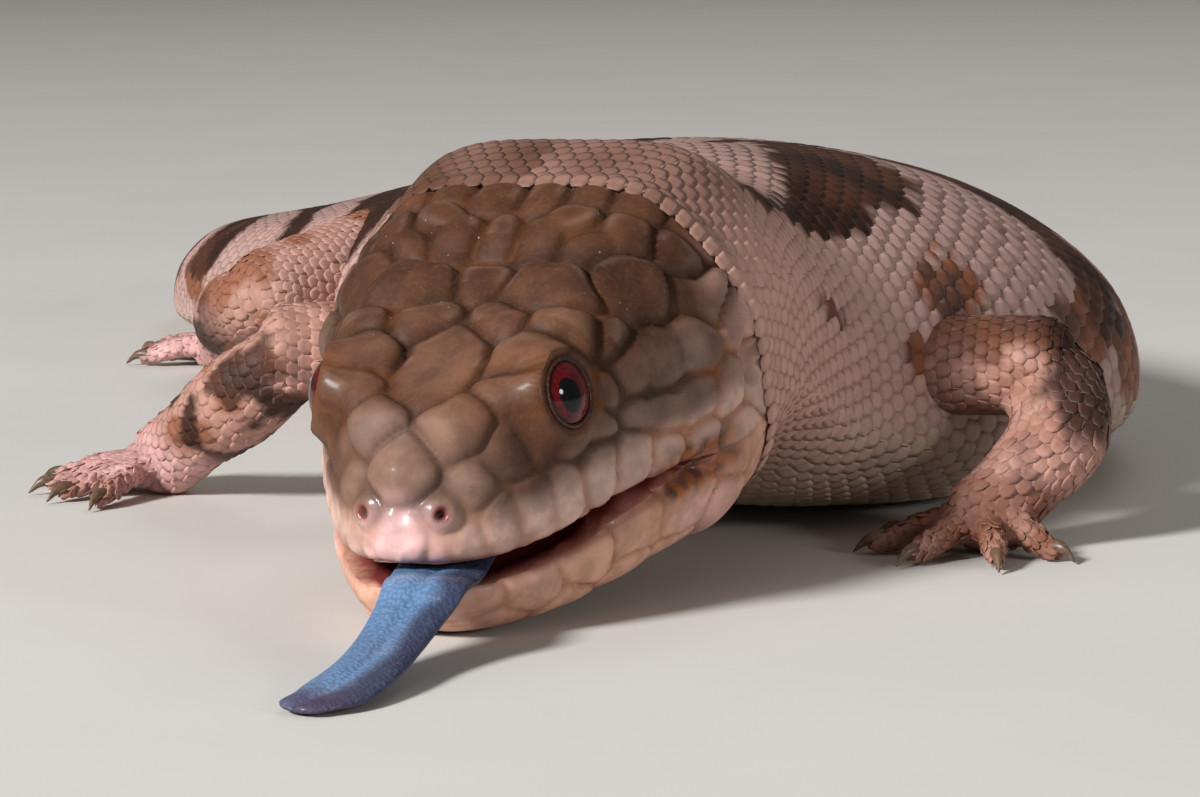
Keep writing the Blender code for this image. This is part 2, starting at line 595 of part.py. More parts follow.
def mouth_cutter(collection):
    """Wedge between the lips that carries on as a thin gap behind the corner of the mouth."""
    outline = [(-s, up) for s, up, low in MOUTH_LINE] + [(-s, low) for s, up, low in reversed(MOUTH_LINE)]
    verts = [from_head(x, side, z) for side in (-40.0, 40.0) for x, z in outline]
    n = len(outline)
    faces = [(i, (i + 1) % n, n + (i + 1) % n, n + i) for i in range(n)]
    faces += [tuple(range(n)), tuple(range(n, 2 * n))]
    return mesh_object("mouth_wedge", verts, faces, collection)


def mouth_hollow(collection):
    """Low hollow behind the lips, roof and floor of the mouth."""
    rings = []
    for s in np.linspace(MOUTH_HOLLOW[0], MOUTH_HOLLOW[1], 9):
        up, low = pchip([r[0] for r in MOUTH_LINE], [r[1:] for r in MOUTH_LINE], s)
        end = math.sqrt(max(1 - ((s - 22.0) / 12.6) ** 2, 0.02))
        half = section(s, [3.0])[0][0] - 3.6
        angles = np.arange(16) * math.pi / 8
        middle = (up + low) / 2
        rings.append(np.array([from_head(-s, half * end * math.cos(a), middle + 4.2 * end * math.sin(a))
                               for a in angles]))
    return loft("mouth_hollow", rings, collection)


def lid_ring(side, collection):
    """Raised rim of the eyelids round one eye."""
    out = unit(np.array((0.22, 1.0, 0.30)))
    across = unit(np.cross(out, (0.0, 0.0, 1.0)))
    up = np.cross(across, out)
    centre = np.array(EYE_CENTRE) + out * (EYE_RADIUS - 2.3)
    verts, faces = [], []
    around, tube = 18, 6
    for i in range(around):
        a = 2 * math.pi * i / around
        direction = math.cos(a) * across * 1.06 + math.sin(a) * up * 0.9
        for j in range(tube):
            b = 2 * math.pi * j / tube
            p = centre + direction * (LID_RADIUS + LID_THICKNESS * math.cos(b))
            p = p + out * LID_THICKNESS * 1.1 * math.sin(b)
            verts.append(from_head(p[0], side * p[1], p[2]))
    for i in range(around):
        for j in range(tube):
            a, b = i * tube, ((i + 1) % around) * tube
            faces.append((a + j, a + (j + 1) % tube, b + (j + 1) % tube, b + j))
    return mesh_object("lid_ring", verts, faces, collection)


def head_local_ball(name, centre, radii, side, collection, segments=12, rings=8):
    """Ellipsoid set in the head's frame on one side."""
    point = from_head(centre[0], side * centre[1], centre[2])
    return ball(name, point, radii, collection, segments, rings, (HEAD_FORWARD, HEAD_LEFT, HEAD_UP))


def digit(name, base, heading, length, collection):
    """One toe, arched from the palm to the floor, with its claw."""
    a = math.radians(heading)
    ahead = np.array((math.cos(a), math.sin(a), 0.0))
    root = np.array((base[0], base[1], 3.1)) + ahead * 1.5
    reach = length - 1.5
    r = DIGIT_RADIUS
    rows = [tuple(root) + (r * 1.2, r * 1.15),
            tuple(root + ahead * reach * 0.4 + np.array((0, 0, 0.3))) + (r * 1.08, r * 1.08),
            tuple(root + ahead * reach * 0.75 + np.array((0, 0, -0.9))) + (r * 0.95, r * 0.95),
            tuple(root + ahead * reach + np.array((0, 0, -1.9))) + (r * 0.72, r * 0.72)]
    side = np.array((-ahead[1], ahead[0], 0.0))
    toe = loft(name, tube_rings(rows, np.linspace(0, 3, 5), 7, side), collection)
    tip = root + ahead * reach + np.array((0, 0, -1.5))
    raised = tip + ahead * 0.8 + np.array((0, 0, 0.35))
    claw = [tuple(tip - ahead * 1.6) + (1.05, 1.15), tuple(raised) + (0.8, 0.9),
            tuple(tip + ahead * CLAW_LENGTH * 0.62 + np.array((0, 0, -0.2))) + (0.45, 0.5),
            tuple(tip + ahead * CLAW_LENGTH + np.array((0, 0, -1.5))) + (0.12, 0.12)]
    nail = loft(name + "_claw", tube_rings(claw, np.linspace(0, 3, 4), 5, side), collection)
    return toe, nail


def material(name, colour, roughness):
    """Plain Principled material."""
    m = bpy.data.materials.new(name)
    m.use_nodes = True
    shader = m.node_tree.nodes["Principled BSDF"]
    shader.inputs["Base Color"].default_value = (*colour, 1.0)
    shader.inputs["Roughness"].default_value = roughness
    shader.inputs["Metallic"].default_value = 0.0
    return m


def build_head(parts, tools):
    """Head and lower jaw with the eyes."""
    head = head_shell(parts)
    lids = bpy.data.collections.new("lids")
    tools.children.link(lids)
    for side in (1, -1):
        boolean(head, lid_ring(side, lids), "UNION")
    for side, word in ((1, "left"), (-1, "right")):
        socket = head_local_ball("eye_socket", EYE_CENTRE, (EYE_RADIUS + GAP,) * 3, side, tools, 16, 9)
        boolean(head, socket, "DIFFERENCE")
        radii = (NOSTRIL_RADIUS, 1.4, NOSTRIL_RADIUS * 0.8)
        nostril = head_local_ball("nostril", NOSTRIL, radii, side, tools)
        boolean(head, nostril, "DIFFERENCE")
        ear = head_local_ball("ear_cup", EAR, EAR_SIZE, side, tools)
        boolean(head, ear, "DIFFERENCE")
        head_local_ball("eye_" + word, EYE_CENTRE, (EYE_RADIUS,) * 3, side, parts, 16, 9)
    boolean(head, mouth_cutter(tools), "DIFFERENCE")
    boolean(head, mouth_hollow(tools), "DIFFERENCE")
    pieces = loose_parts(head)
    jaw = head.copy()
    jaw.data = head.data.copy()
    jaw.name = "lower_jaw"
    parts.objects.link(jaw)
    keep_part(jaw, pieces[1])
    keep_part(head, pieces[0])
    return head, jaw


def build_body(parts, tools):
    """Neck, torso and tail lengths."""
    body_part("neck", HEAD_END, BODY_CUTS[0], 5.2, (3, 3, 3, 1, 3, 3), parts, False)
    names = ("torso_front", "torso_middle", "torso_rear", "hips")
    for name, start, end in zip(names, BODY_CUTS[:-1], BODY_CUTS[1:]):
        body_part(name, start, end, 7.5, (3, 3, 3, 2, 3, 3), parts)
    ends = (BODY_CUTS[-1],) + TAIL_CUTS + (TAIL_END,)
    for name, start, end in zip(("tail_base", "tail_middle", "tail_tip"), ends[:-1], ends[1:]):
        body_part(name, start, end, 8.5, (2, 2, 2, 1, 2, 2), parts, True, end < TAIL_END)


def rounded_end(rings, direction, radius):
    """Two smaller rings that round off the last ring of a tube."""
    centre = rings[-1].mean(axis=0)
    closing = []
    for shrink, step in ((0.8, 0.55), (0.4, 0.88)):
        points = centre + (rings[-1] - centre) * shrink + unit(direction) * step * radius
        points[:, 2] = np.maximum(points[:, 2], 0.0)
        closing.append(points)
    return closing


def build_limb(limb, names, side_hint, hosts, parts, tools):
    """Upper and lower length of one limb and the palm or sole with its digits."""
    upper_points, lower_points = (np.array(p, float) for p in LIMBS[limb])
    upper, lower, end = names
    bend = upper_points[-1, :3] - upper_points[-2, :3]
    upper_rings = {}
    for grow in (0.0, GAP):
        rings = tube_rings(upper_points, np.linspace(0, 3, 9), 12, side_hint, grow)
        rings[0] = rings[0] - unit(upper_points[1, :3] - upper_points[0, :3]) * grow
        upper_rings[grow] = rings + rounded_end(rings, bend, upper_points[-1, 3] + grow)
    loft(upper, upper_rings[0.0], parts)
    fat_upper = loft(upper + "_clearance", upper_rings[GAP], tools)
    ts = np.linspace(0, WRIST, 7)
    shifts = np.zeros(len(ts))
    shifts[-1] = -GAP / 2
    rings = tube_rings(lower_points, ts, 12, side_hint, 0.0, shifts)
    start = rounded_end(rings[:1], lower_points[0, :3] - lower_points[1, :3], lower_points[0, 3])
    lower_part = loft(lower, start[::-1] + rings, parts)
    boolean(lower_part, fat_upper, "DIFFERENCE")
    keep_part(lower_part, loose_parts(lower_part)[0])
    ts = np.linspace(WRIST, 3, 4)
    shifts = np.zeros(len(ts))
    shifts[0] = GAP / 2
    rings = tube_rings(lower_points, ts, 12, side_hint, 0.0, shifts)
    ahead = (lower_points[-1, :3] - lower_points[-2, :3]) * (1, 1, 0)
    palm = loft(end, rings + rounded_end(rings, ahead, 4.2), parts)
    group = bpy.data.collections.new(end + "_digits")
    tools.children.link(group)
    base, digits = DIGITS[end]
    for heading, length in digits:
        digit(end + "_digit", base, heading, length, group)
    boolean(palm, group, "UNION")
    keep_part(palm, loose_parts(palm)[0])
    for host in hosts:
        boolean(parts.objects[host], fat_upper, "DIFFERENCE")


def tongue_rings(grow):
    """Rings of the tongue from its root to its broad tip, its skin moved out by grow millimetres."""
    rows = [tuple(from_head(*r[:3])) + r[3:] for r in TONGUE_IN_HEAD] + list(TONGUE_OUT)
    rings = tube_rings(rows, np.linspace(0, len(rows) - 1, 16), 12, (1.0, -0.25, 0.0), grow)
    return rings + rounded_end(rings, rings[-1].mean(axis=0) - rings[-2].mean(axis=0), 2.2)


def build_tongue(parts, tools):
    """Broad tongue out over the lower lip, its tip on the floor, and its clearance in the mouth."""
    loft("tongue", tongue_rings(0.0), parts)
    clearance = loft("tongue_clearance", tongue_rings(GAP), tools)
    for host in ("head", "lower_jaw"):
        boolean(parts.objects[host], clearance, "DIFFERENCE")


def finish(parts, tools):
    """Materials, plain faces, and the floor origin under the middle of the animal."""
    low = np.full(3, np.inf)
    high = np.full(3, -np.inf)
    for obj in parts.objects:
        co = np.array([v.co for v in obj.data.vertices])
        low, high = np.minimum(low, co.min(axis=0)), np.maximum(high, co.max(axis=0))
    move = Vector((-(low[0] + high[0]) / 2, -(low[1] + high[1]) / 2, -low[2]))
    print("shift", [round(c / MM, 3) for c in move])
    for obj in list(parts.objects) + list(tools.all_objects):
        obj.data.transform(Matrix.Translation(move))
    total = 0
    for obj in parts.objects:
        word = obj.name.split("_")[0]
        word = {"upper": "limb", "forearm": "limb", "hand": "limb", "thigh": "limb", "shin": "limb",
                "foot": "limb", "hips": "torso", "lower": "lower_jaw"}.get(word, word)
        obj.data.materials.clear()
        obj.data.materials.append(material("skin_" + obj.name, SKIN_COLOURS[word],
                                           0.12 if word == "eye" else 0.3 if word == "tongue" else 0.55))
        count = sum(len(p.vertices) - 2 for p in obj.data.polygons)
        total += count
        bm = bmesh.new()
        bm.from_mesh(obj.data)
        loose = len(loose_parts(obj))
        openings = sum(1 for e in bm.edges if len(e.link_faces) != 2)
        print(obj.name, "triangles", count, "bodies", loose, "open edges", openings,
              "volume", round(bm.calc_volume(signed=True) * 1e6, 2))
        bm.free()
    print("triangles in all", total)


def main():
    for obj in list(bpy.data.objects):
        bpy.data.objects.remove(obj)
    scene = bpy.context.scene.collection
    parts = bpy.data.collections.new("blue_tongued_skink")
    tools = bpy.data.collections.new("cutters")
    scene.children.link(parts)
    scene.children.link(tools)
    build_body(parts, tools)
    for side in ("left", "right"):
        build_limb("arm_" + side, ["%s_%s" % (n, side) for n in ("upper_arm", "forearm", "hand")],
                   (0.0, 1.0, 0.2), ("torso_front", "neck"), parts, tools)
        build_limb("leg_" + side, ["%s_%s" % (n, side) for n in ("thigh", "shin", "foot")],
                   (0.3, 1.0, 0.2), ("torso_rear", "hips"), parts, tools)
    build_head(parts, tools)
    build_tongue(parts, tools)
    finish(parts, tools)
    tools.hide_render = True
    for obj in tools.all_objects:
        obj.hide_render = True
        obj.display_type = "WIRE"


main()
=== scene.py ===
"""Looks of the blue tongued skink: its skin, coat of scales, eyes, claws, tongue, floor and light.

Shapes are worked out in millimetres in the sections of part.py, with head stations s counted back
from the lips, and turned to the metres of the frame when a mesh is made.
"""

import math

import bmesh
import bpy
import numpy as np
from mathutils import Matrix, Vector
from mathutils.bvhtree import BVHTree


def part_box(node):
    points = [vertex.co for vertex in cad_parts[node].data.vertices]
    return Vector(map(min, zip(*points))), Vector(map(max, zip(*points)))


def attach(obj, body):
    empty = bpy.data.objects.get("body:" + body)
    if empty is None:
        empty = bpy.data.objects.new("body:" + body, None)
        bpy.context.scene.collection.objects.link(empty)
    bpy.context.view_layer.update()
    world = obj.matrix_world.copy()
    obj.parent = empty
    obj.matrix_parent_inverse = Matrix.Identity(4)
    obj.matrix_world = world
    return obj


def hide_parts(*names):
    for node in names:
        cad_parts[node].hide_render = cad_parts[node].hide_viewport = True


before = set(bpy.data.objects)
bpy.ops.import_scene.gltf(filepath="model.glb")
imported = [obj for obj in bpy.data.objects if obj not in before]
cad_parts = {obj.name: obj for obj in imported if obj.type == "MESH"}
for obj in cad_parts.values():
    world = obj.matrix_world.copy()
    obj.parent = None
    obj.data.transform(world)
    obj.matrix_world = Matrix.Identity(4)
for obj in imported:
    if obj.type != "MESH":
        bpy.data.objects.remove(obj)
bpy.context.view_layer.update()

# Sizes in millimetres and angles in degrees
MM = 0.001
HEAD_YAW, HEAD_PITCH, HEAD_ROLL = 19.2, 16.26, 1.68
SNOUT_HEIGHT = 11.8          # height of the head's own origin above the floor
NECK_BLEND = (58.0, 88.0)    # stations between which the head's frame turns into the body's
TAIL_END = 482.0
EYE_CENTRE = np.array((-22.3, 12.2, 8.4))
EYEBALL = 4.4                # radius of the visible eyeball
EYE_FLAT, EYE_OUT = 0.74, 0.9  # its depth against its width, and how far it is set out of its centre
GAZE_FORWARD = 1.15          # how far the pupil is set towards the snout
EYE_AXIS = np.array((0.22, 1.0, 0.30))
LID_OPEN, LID_COVER, LID_RIM = 3.75, 0.25, 0.28   # half opening, cover over the eyeball, rim's radius
NOSTRIL = np.array((-5.6, 4.7, 1.6))
EAR = np.array((-51.5, 26.2, 0.5))
SHIELD_GRAIN = 4.3           # radius of the ground that a shield of size one wins
SPOT_SPACING = 7.0           # usual distance between the middles of shields
GROOVE_CORNER = 0.45         # how far the corners of shields are rounded
SHIELDS_END = 62.5           # distance along the crown at which the last shields have run out
SHIELD_DOME = 2.0            # distance in from its groove over which a shield rises
SHIELD_TILT = 0.34           # how much higher its rear stands than its front, against its rise
GROOVE_DEPTH, GROOVE_WIDTH = 0.50, 0.55
LIP_ROUND, LIP_DEPTH = 1.25, 0.85   # width and depth of the rounding along the gap of the mouth
LIP_SWELL = 0.28             # swell of the lips beside it
NOSTRIL_RIM, NOSTRIL_DEPTH = 0.16, 0.9
EAR_DEPTH = 2.6
SOCKET_DEPTH = 3.4           # depth of the opening in the lids that the eyeball fills
EAR_SIZE = (2.3, 3.3)        # half length and half height of the ear opening
HEAD_STEP = 0.46             # spacing of the skin's rings on the head
HEAD_COUNTS = (36, 26, 32, 10, 18, 22)   # points between the seven section places of a head ring
HEAD_RINGS_END = 62.0        # station where the rings of the body take over, with half the points
RING_STEPS = ((62, 72, 130, 145, 440, 478), (0.9, 2.7, 2.7, 4.4, 4.4, 0.9))   # stations, spacings
SKIN_SINK = 0.45             # depth of the skin under the tops of its scales
NECK_SINK = 0.45             # how much deeper it lies in the hollow between neck and shoulder
FLOOR_PRESS = 0.6            # height under which what rests on the floor is pressed flat
LIMB_FLARE = {"arm": 1.3, "leg": 1.05}   # widening of a limb where it leaves the trunk
LIMB_VOXEL = 0.95            # grain at which the shells of one limb are melted together

HEADINGS = ((58, 21.4), (80, 25), (100, 25), (120, 18), (140, 8), (160, -2), (180, -13), (200, -25),
            (220, -35), (240, -41), (272, -43), (295, -40), (320, -25), (350, 5), (380, 30),
            (410, 45), (450, 50), (482, 38))
HEAD_SECTIONS = (
    (3.0, -3.2, 0.3, -3.25, 0.5, -3.4, 0.6, -3.5, 0.5, -3.65, 0.3, -3.75, -3.8),
    (3.4, -0.8, 1.4, -1.1, 2.3, -2.3, 2.6, -3.7, 2.3, -4.7, 1.3, -5.4, -5.7),
    (4.0, 1.0, 2.3, 0.6, 3.8, -1.2, 4.3, -3.9, 4.0, -6.2, 2.5, -7.4, -7.9),
    (5.0, 3.4, 3.2, 2.6, 5.2, -0.2, 5.9, -4.2, 5.7, -7.2, 4.0, -10.0, -11.0),
    (6.5, 5.6, 4.1, 4.6, 6.8, 1.0, 7.6, -4.6, 7.4, -7.6, 5.6, -12.2, -13.4),
    (9.0, 7.9, 5.3, 6.8, 8.7, 2.6, 9.7, -5.2, 9.6, -8.1, 7.8, -13.4, -15.2),
    (12.0, 10.4, 7.0, 9.1, 10.4, 4.0, 11.4, -5.7, 11.3, -8.4, 9.7, -14.2, -16.4),
    (16.0, 11.6, 9.2, 11.0, 12.8, 5.2, 13.9, -5.9, 13.8, -8.6, 12.2, -15.0, -17.5),
    (22.5, 12.1, 11.6, 13.2, 15.9, 6.5, 17.2, -5.5, 17.1, -8.4, 15.2, -15.6, -18.6),
    (30.0, 14.9, 12.6, 15.6, 19.0, 7.6, 20.4, -5.2, 20.3, -8.0, 18.0, -16.0, -19.7),
    (38.0, 17.2, 13.2, 16.6, 21.8, 7.0, 23.0, -6.2, 23.0, -8.0, 20.6, -16.4, -20.8),
    (46.0, 19.6, 14.0, 18.3, 24.1, 6.5, 25.2, -5.8, 25.2, -9.0, 22.4, -16.6, -21.3),
    (55.0, 21.2, 15.0, 19.5, 25.4, 6.2, 26.4, -5.0, 26.3, -9.5, 22.6, -16.3, -20.8),
    (66.0, 22.4, 16.4, 20.4, 26.2, 6.0, 27.2, -4.5, 27.0, -9.5, 22.0, -16.0, -19.6),
)
BODY_SECTIONS = (
    (80, 28.5, 48.4, 7.0, 2.3), (100, 34.5, 49.0, 1.6, 2.2), (120, 43.5, 47.6, -0.6, 2.05),
    (145, 50.5, 44.8, -0.6, 1.92), (170, 52.5, 43.2, -0.6, 1.9), (195, 50.5, 42.6, -0.6, 1.9),
    (220, 46.0, 41.0, -0.6, 1.95), (245, 38.5, 37.0, -0.6, 2.0), (265, 31.5, 32.6, -0.6, 2.0),
    (285, 24.5, 28.2, -0.6, 2.0), (300, 20.6, 25.2, -0.6, 2.0), (330, 16.6, 20.6, -0.5, 2.0),
    (370, 12.4, 15.6, -0.5, 2.0), (410, 8.7, 11.1, -0.4, 2.0), (450, 4.9, 6.8, -0.3, 2.0),
    (474, 2.3, 3.5, -0.2, 2.0), (482, 0.5, 1.3, 0.3, 2.0),
)
WIDEST_LEVEL = 0.31
SECTION_ANGLES = (90.0, 57.0, 25.0, 2.0, -16.0, -52.0, -90.0)
BELLY_FULLNESS = 3.0

# Mouth: station, upper lip line z, lower lip line z in the head's frame
MOUTH_LINE = ((0.0, -2.9, -7.3), (3.6, -3.3, -7.3), (5.2, -4.2, -7.3), (9.0, -5.2, -8.1),
              (14.0, -5.9, -8.6), (20.0, -5.7, -8.5), (27.0, -5.4, -7.8), (33.0, -5.7, -7.3),
              (38.5, -6.5, -7.1), (42.5, -7.3, -7.45))
MOUTH_CORNER = 42.5
# Cut between the lips: how far it starts ahead of them, its half width, and its slices across
CUT_AHEAD, CUT_HALF, CUT_SLICES = 6.0, 36.0, 25
# Hollow of the mouth: its end stations, rings and points of a ring, then its middle station, half length,
# half height and distance in from the cheek
HOLLOW_ENDS, HOLLOW_RINGS, HOLLOW_AROUND = (8.0, 33.0), 15, 28
HOLLOW_MIDDLE, HOLLOW_HALF, HOLLOW_HIGH, HOLLOW_INSET = 20.5, 13.0, 3.6, 3.0

# Tongue: points of its middle line, half width and half thickness
TONGUE_IN_HEAD = ((-24.0, 0.6, -7.1, 5.2, 1.3), (-12.0, 1.8, -7.0, 5.3, 1.05), (-5.0, 3.2, -5.75, 5.2, 1.1))
TONGUE_OUT = ((4.4, -1.3, 7.9, 4.9, 1.4), (2.9, -5.0, 5.6, 4.3, 1.5), (0.9, -11.0, 3.4, 4.0, 1.4),
              (-1.2, -18.6, 2.2, 4.1, 1.3), (-3.9, -24.6, 1.2, 4.3, 1.1), (-6.6, -28.2, 0.9, 3.2, 0.9))
TONGUE_RINGS, TONGUE_AROUND = 110, 56
TONGUE_GROOVE, TONGUE_GROOVE_WIDE, TONGUE_FOLD = 0.40, 0.26, 0.12   # depth, width against the tongue's, folds

# Limbs: upper length to the elbow or knee, then the lower length to the palm or sole, as points
# of the middle line in millimetres with half width and half height
LIMBS = {
    "arm_left": (
        ((40, 92, 21, 8.0, 9.5), (51, 86, 20.5, 8.0, 9.0),
         (65, 81, 21, 6.8, 7.2), (79, 77.5, 21.5, 6.6, 7.0)),
        ((81, 76, 19, 5.8, 6.2), (80.5, 71, 13.5, 6.5, 6.7),
         (75.5, 67, 8.5, 5.6, 5.4), (71, 64.5, 4.0, 6.2, 4.2)),
    ),
    "arm_right": (
        ((20, 103, 21, 8.0, 9.5), (8, 101, 20.5, 8.0, 9.0),
         (-5, 98, 21, 6.8, 7.2), (-17, 96, 21, 6.6, 7.0)),
        ((-19, 97, 18.5, 5.8, 6.2), (-25, 101, 13.5, 6.5, 6.7),
         (-31, 106, 8.5, 5.6, 5.4), (-36, 111, 4.0, 6.2, 4.2)),
    ),
    "leg_left": (
        ((12, 252, 17, 11.5, 11.0), (27, 259, 17, 11.0, 10.5),
         (43, 255, 16.5, 8.8, 8.8), (55, 249, 15.5, 7.4, 7.6)),
        ((57, 250, 14, 6.4, 6.6), (62, 258, 11, 7.0, 6.8),
         (66, 269, 7.2, 5.6, 5.2), (69, 275, 3.6, 6.4, 3.8)),
    ),
    "leg_right": (
        ((4, 243, 17, 11.5, 11.0), (-12, 231, 17, 11.0, 10.5),
         (-22, 220, 16.5, 8.8, 8.8), (-30, 212, 15.5, 7.4, 7.6)),
        ((-32, 213, 14, 6.4, 6.6), (-36, 220, 11, 7.0, 6.8),
         (-38.5, 232, 7.2, 5.6, 5.2), (-40, 238, 3.6, 6.4, 3.8)),
    ),
}
# Digits by limb: where they start, then heading in degrees from +X toward +Y and length of each
DIGITS = {
    "arm_left": ((71, 64.5), ((150, 12), (188, 13.5), (226, 14), (270, 13), (316, 10.5))),
    "arm_right": ((-37, 111.5), ((250, 16.5), (222, 14.5), (196, 14), (166, 13.5), (130, 11))),
    "leg_left": ((69, 275), ((120, 11), (86, 14), (58, 17), (32, 18), (-8, 13))),
    "leg_right": ((-40, 238), ((74, 10.5), (94, 13.5), (114, 17), (136, 18), (172, 13))),
}
DIGIT_RADIUS = 1.9
CLAW_LENGTH = 3.4
# Rows of a digit: part of its reach, lift, half width and half height against its radius
DIGIT_ROWS = ((0.0, 0.0, 1.2, 1.15), (0.4, 0.3, 1.08, 1.08), (0.75, -0.9, 0.95, 0.95),
              (1.0, -1.9, 0.72, 0.72))
# Rows of a claw: distance past the digit's tip, lift, half width, half height
CLAW_ROWS = ((-1.6, 0.0, 0.95, 1.05), (0.8, 0.35, 0.75, 0.85), (CLAW_LENGTH * 0.62, -0.2, 0.42, 0.48),
             (CLAW_LENGTH - 0.1, -1.35, 0.1, 0.1))
LIMB_SIDE_HINT = (0.15, 0.1, 1.0)   # direction that the first point of a limb's rings looks in
LIMB_AROUND, DIGIT_AROUND = 20, 10
JOINT_SWELL = 0.07           # swell of the digits' joints against their width
ROUND_END = (22, 44, 64, 80)   # angles of the rings that round off a tube's end

# Scales of the body: distance along the crown of the first row, lift of its scales over the skin between
# the last shields, and first station and number of scales round the body
COAT_START, FIRST_LIFT = 60.6, 0.5
ROWS_ROUND = ((0, 72), (80, 68), (120, 66), (265, 54), (300, 42), (345, 34), (395, 26), (440, 18), (463, 12))
COAT_PARTS = (("coat_neck", 50, 88), ("coat_shoulders", 88, 120), ("coat_front", 120, 155),
              ("coat_middle", 155, 192), ("coat_rear", 192, 232), ("coat_hips", 232, 275),
              ("coat_tail_base", 275, 345), ("coat_tail", 345, 483))
COAT_THICKNESS = ((88, 155), (0.34, 0.55))   # last station of a part, thickness against length
# Spacing of rows against a scale's room round the body, and its own width and length against both
BODY_PITCH, BODY_WIDE, BODY_LONG = 0.80, 1.16, 1.6
LIMB_PITCH, LIMB_WIDE, LIMB_LONG = 0.74, 1.15, 1.65
LIMB_SCALE, DIGIT_SCALE = 2.1, 1.5
COAT_UNEVEN = 0.06           # share by which the widths of scales differ
SCALE_PATCH = 0.0015         # size of one scale in the map that its colours are baked to

# Shields: name, part of the full rise, spots that it grows from: distance along the crown,
# distance over from the midline, size
SHIELDS = (
    ("rostral", 0.8, ((3.0, 0.0, 1.15),)), ("nasal", 1.0, ((7.2, 5.0, 1.0),)),
    ("frontonasal", 2.7, ((10.8, 0.0, 1.35),)), ("prefrontal", 2.0, ((16.2, 4.6, 1.3),)),
    ("frontal", 1.0, ((22.0, 0.0, 1.15), (26.5, 0.0, 1.3), (31.0, 0.0, 1.2))),
    ("supraocular_front", 1.1, ((23.0, 9.0, 1.05),)),
    ("supraocular_middle", 1.2, ((27.4, 8.6, 1.1), (30.0, 11.2, 1.0))),
    ("supraocular_rear", 0.9, ((33.8, 12.0, 0.95), (35.0, 15.2, 0.85))),
    ("postocular", 0.6, ((37.4, 18.6, 0.7),)), ("frontoparietal", 0.9, ((35.0, 4.2, 1.05),)),
    ("interparietal", 0.8, ((42.3, 0.0, 0.85),)),
    ("parietal", 1.2, ((40.6, 6.6, 1.1), (41.0, 11.4, 1.15))),
    ("upper_temporal", 1.0, ((45.8, 16.2, 1.1), (46.4, 20.2, 1.0))),
    ("upper_temporal_rear", 0.8, ((55.5, 21.0, 0.95),)),
    ("oblong_temporal", 0.9, ((52.4, 25.0, 0.95), (55.4, 27.6, 0.85))),
    ("nuchal_0", 0.8, ((49.8, 0.0, 0.8),)), ("nuchal_1", 1.0, ((49.6, 5.2, 0.95), (53.2, 8.4, 0.95))),
    ("nuchal_2", 1.0, ((49.2, 10.8, 0.9), (53.4, 15.2, 1.0))),
    ("nuchal_3", 0.9, ((57.4, 2.8, 0.9),)), ("nuchal_4", 0.8, ((59.4, 9.0, 0.9),)),
    ("nuchal_5", 0.8, ((59.4, 14.8, 0.95),)), ("nuchal_6", 0.7, ((61.8, 21.0, 0.95),)),
    ("temporal_1", 0.7, ((37.8, 24.0, 0.85), (43.0, 26.0, 1.05), (48.6, 28.6, 1.0))),
    ("temporal_2", 0.65, ((36.4, 28.0, 0.75), (41.0, 31.2, 0.9), (46.4, 33.8, 0.95))),
    ("behind_eye", 0.35, ((33.4, 22.6, 0.6),)), ("corner", 0.6, ((46.0, 39.4, 0.85),)),
    ("nape_side_1", 0.6, ((57.5, 32.6, 1.0),)), ("nape_side_2", 0.55, ((53.0, 37.4, 1.0),)),
    ("nape_side_3", 0.45, ((59.0, 39.6, 1.0),)), ("nape_side_4", 0.4, ((54.0, 44.6, 1.0),)),
    ("loreal_1", 0.7, ((12.6, 8.6, 0.95),)), ("loreal_2", 0.6, ((17.6, 11.6, 0.95),)),
    ("loreal_3", 0.4, ((21.4, 14.8, 0.8),)), ("subocular", 0.35, ((25.6, 21.4, 0.7), (29.6, 23.6, 0.65))),
    ("eye", 0.4, ((28.2, 16.4, 1.0),)), ("labial_1", 0.5, ((5.6, 8.2, 0.85),)),
    ("labial_2", 0.5, ((9.6, 12.6, 0.9),)), ("labial_3", 0.45, ((14.4, 17.2, 0.95),)),
    ("labial_4", 0.45, ((19.0, 21.6, 0.95),)), ("labial_5", 0.45, ((23.6, 25.4, 0.95),)),
    ("labial_6", 0.4, ((28.2, 28.6, 0.95),)), ("labial_7", 0.4, ((33.6, 32.8, 1.0),)),
    ("labial_8", 0.4, ((39.6, 36.6, 1.0),)), ("jaw_1", 0.4, ((10.0, 18.8, 1.0),)),
    ("jaw_2", 0.4, ((17.4, 27.6, 1.05),)), ("jaw_3", 0.4, ((25.2, 34.2, 1.05),)),
    ("jaw_4", 0.4, ((33.4, 39.4, 1.05),)), ("jaw_5", 0.4, ((42.6, 44.6, 1.05),)),
    ("chin_1", 0.3, ((15.0, 33.0, 1.0),)), ("chin_2", 0.3, ((24.0, 43.0, 1.1),)),
    ("chin_3", 0.3, ((33.0, 48.5, 1.1),)), ("throat_1", 0.25, ((42.5, 53.0, 1.1),)),
    ("throat_2", 0.25, ((52.0, 53.5, 1.1),)), ("throat_3", 0.25, ((60.0, 54.0, 1.0),)),
    ("throat_4", 0.25, ((38.0, 60.0, 1.0),)), ("throat_5", 0.25, ((50.0, 62.0, 1.0),)),
)

# Stations of the middles of the dark saddles of trunk and tail
SADDLES = np.array((155, 186, 216, 245, 272, 299, 324, 348, 371, 393, 414, 434, 453, 471), float)

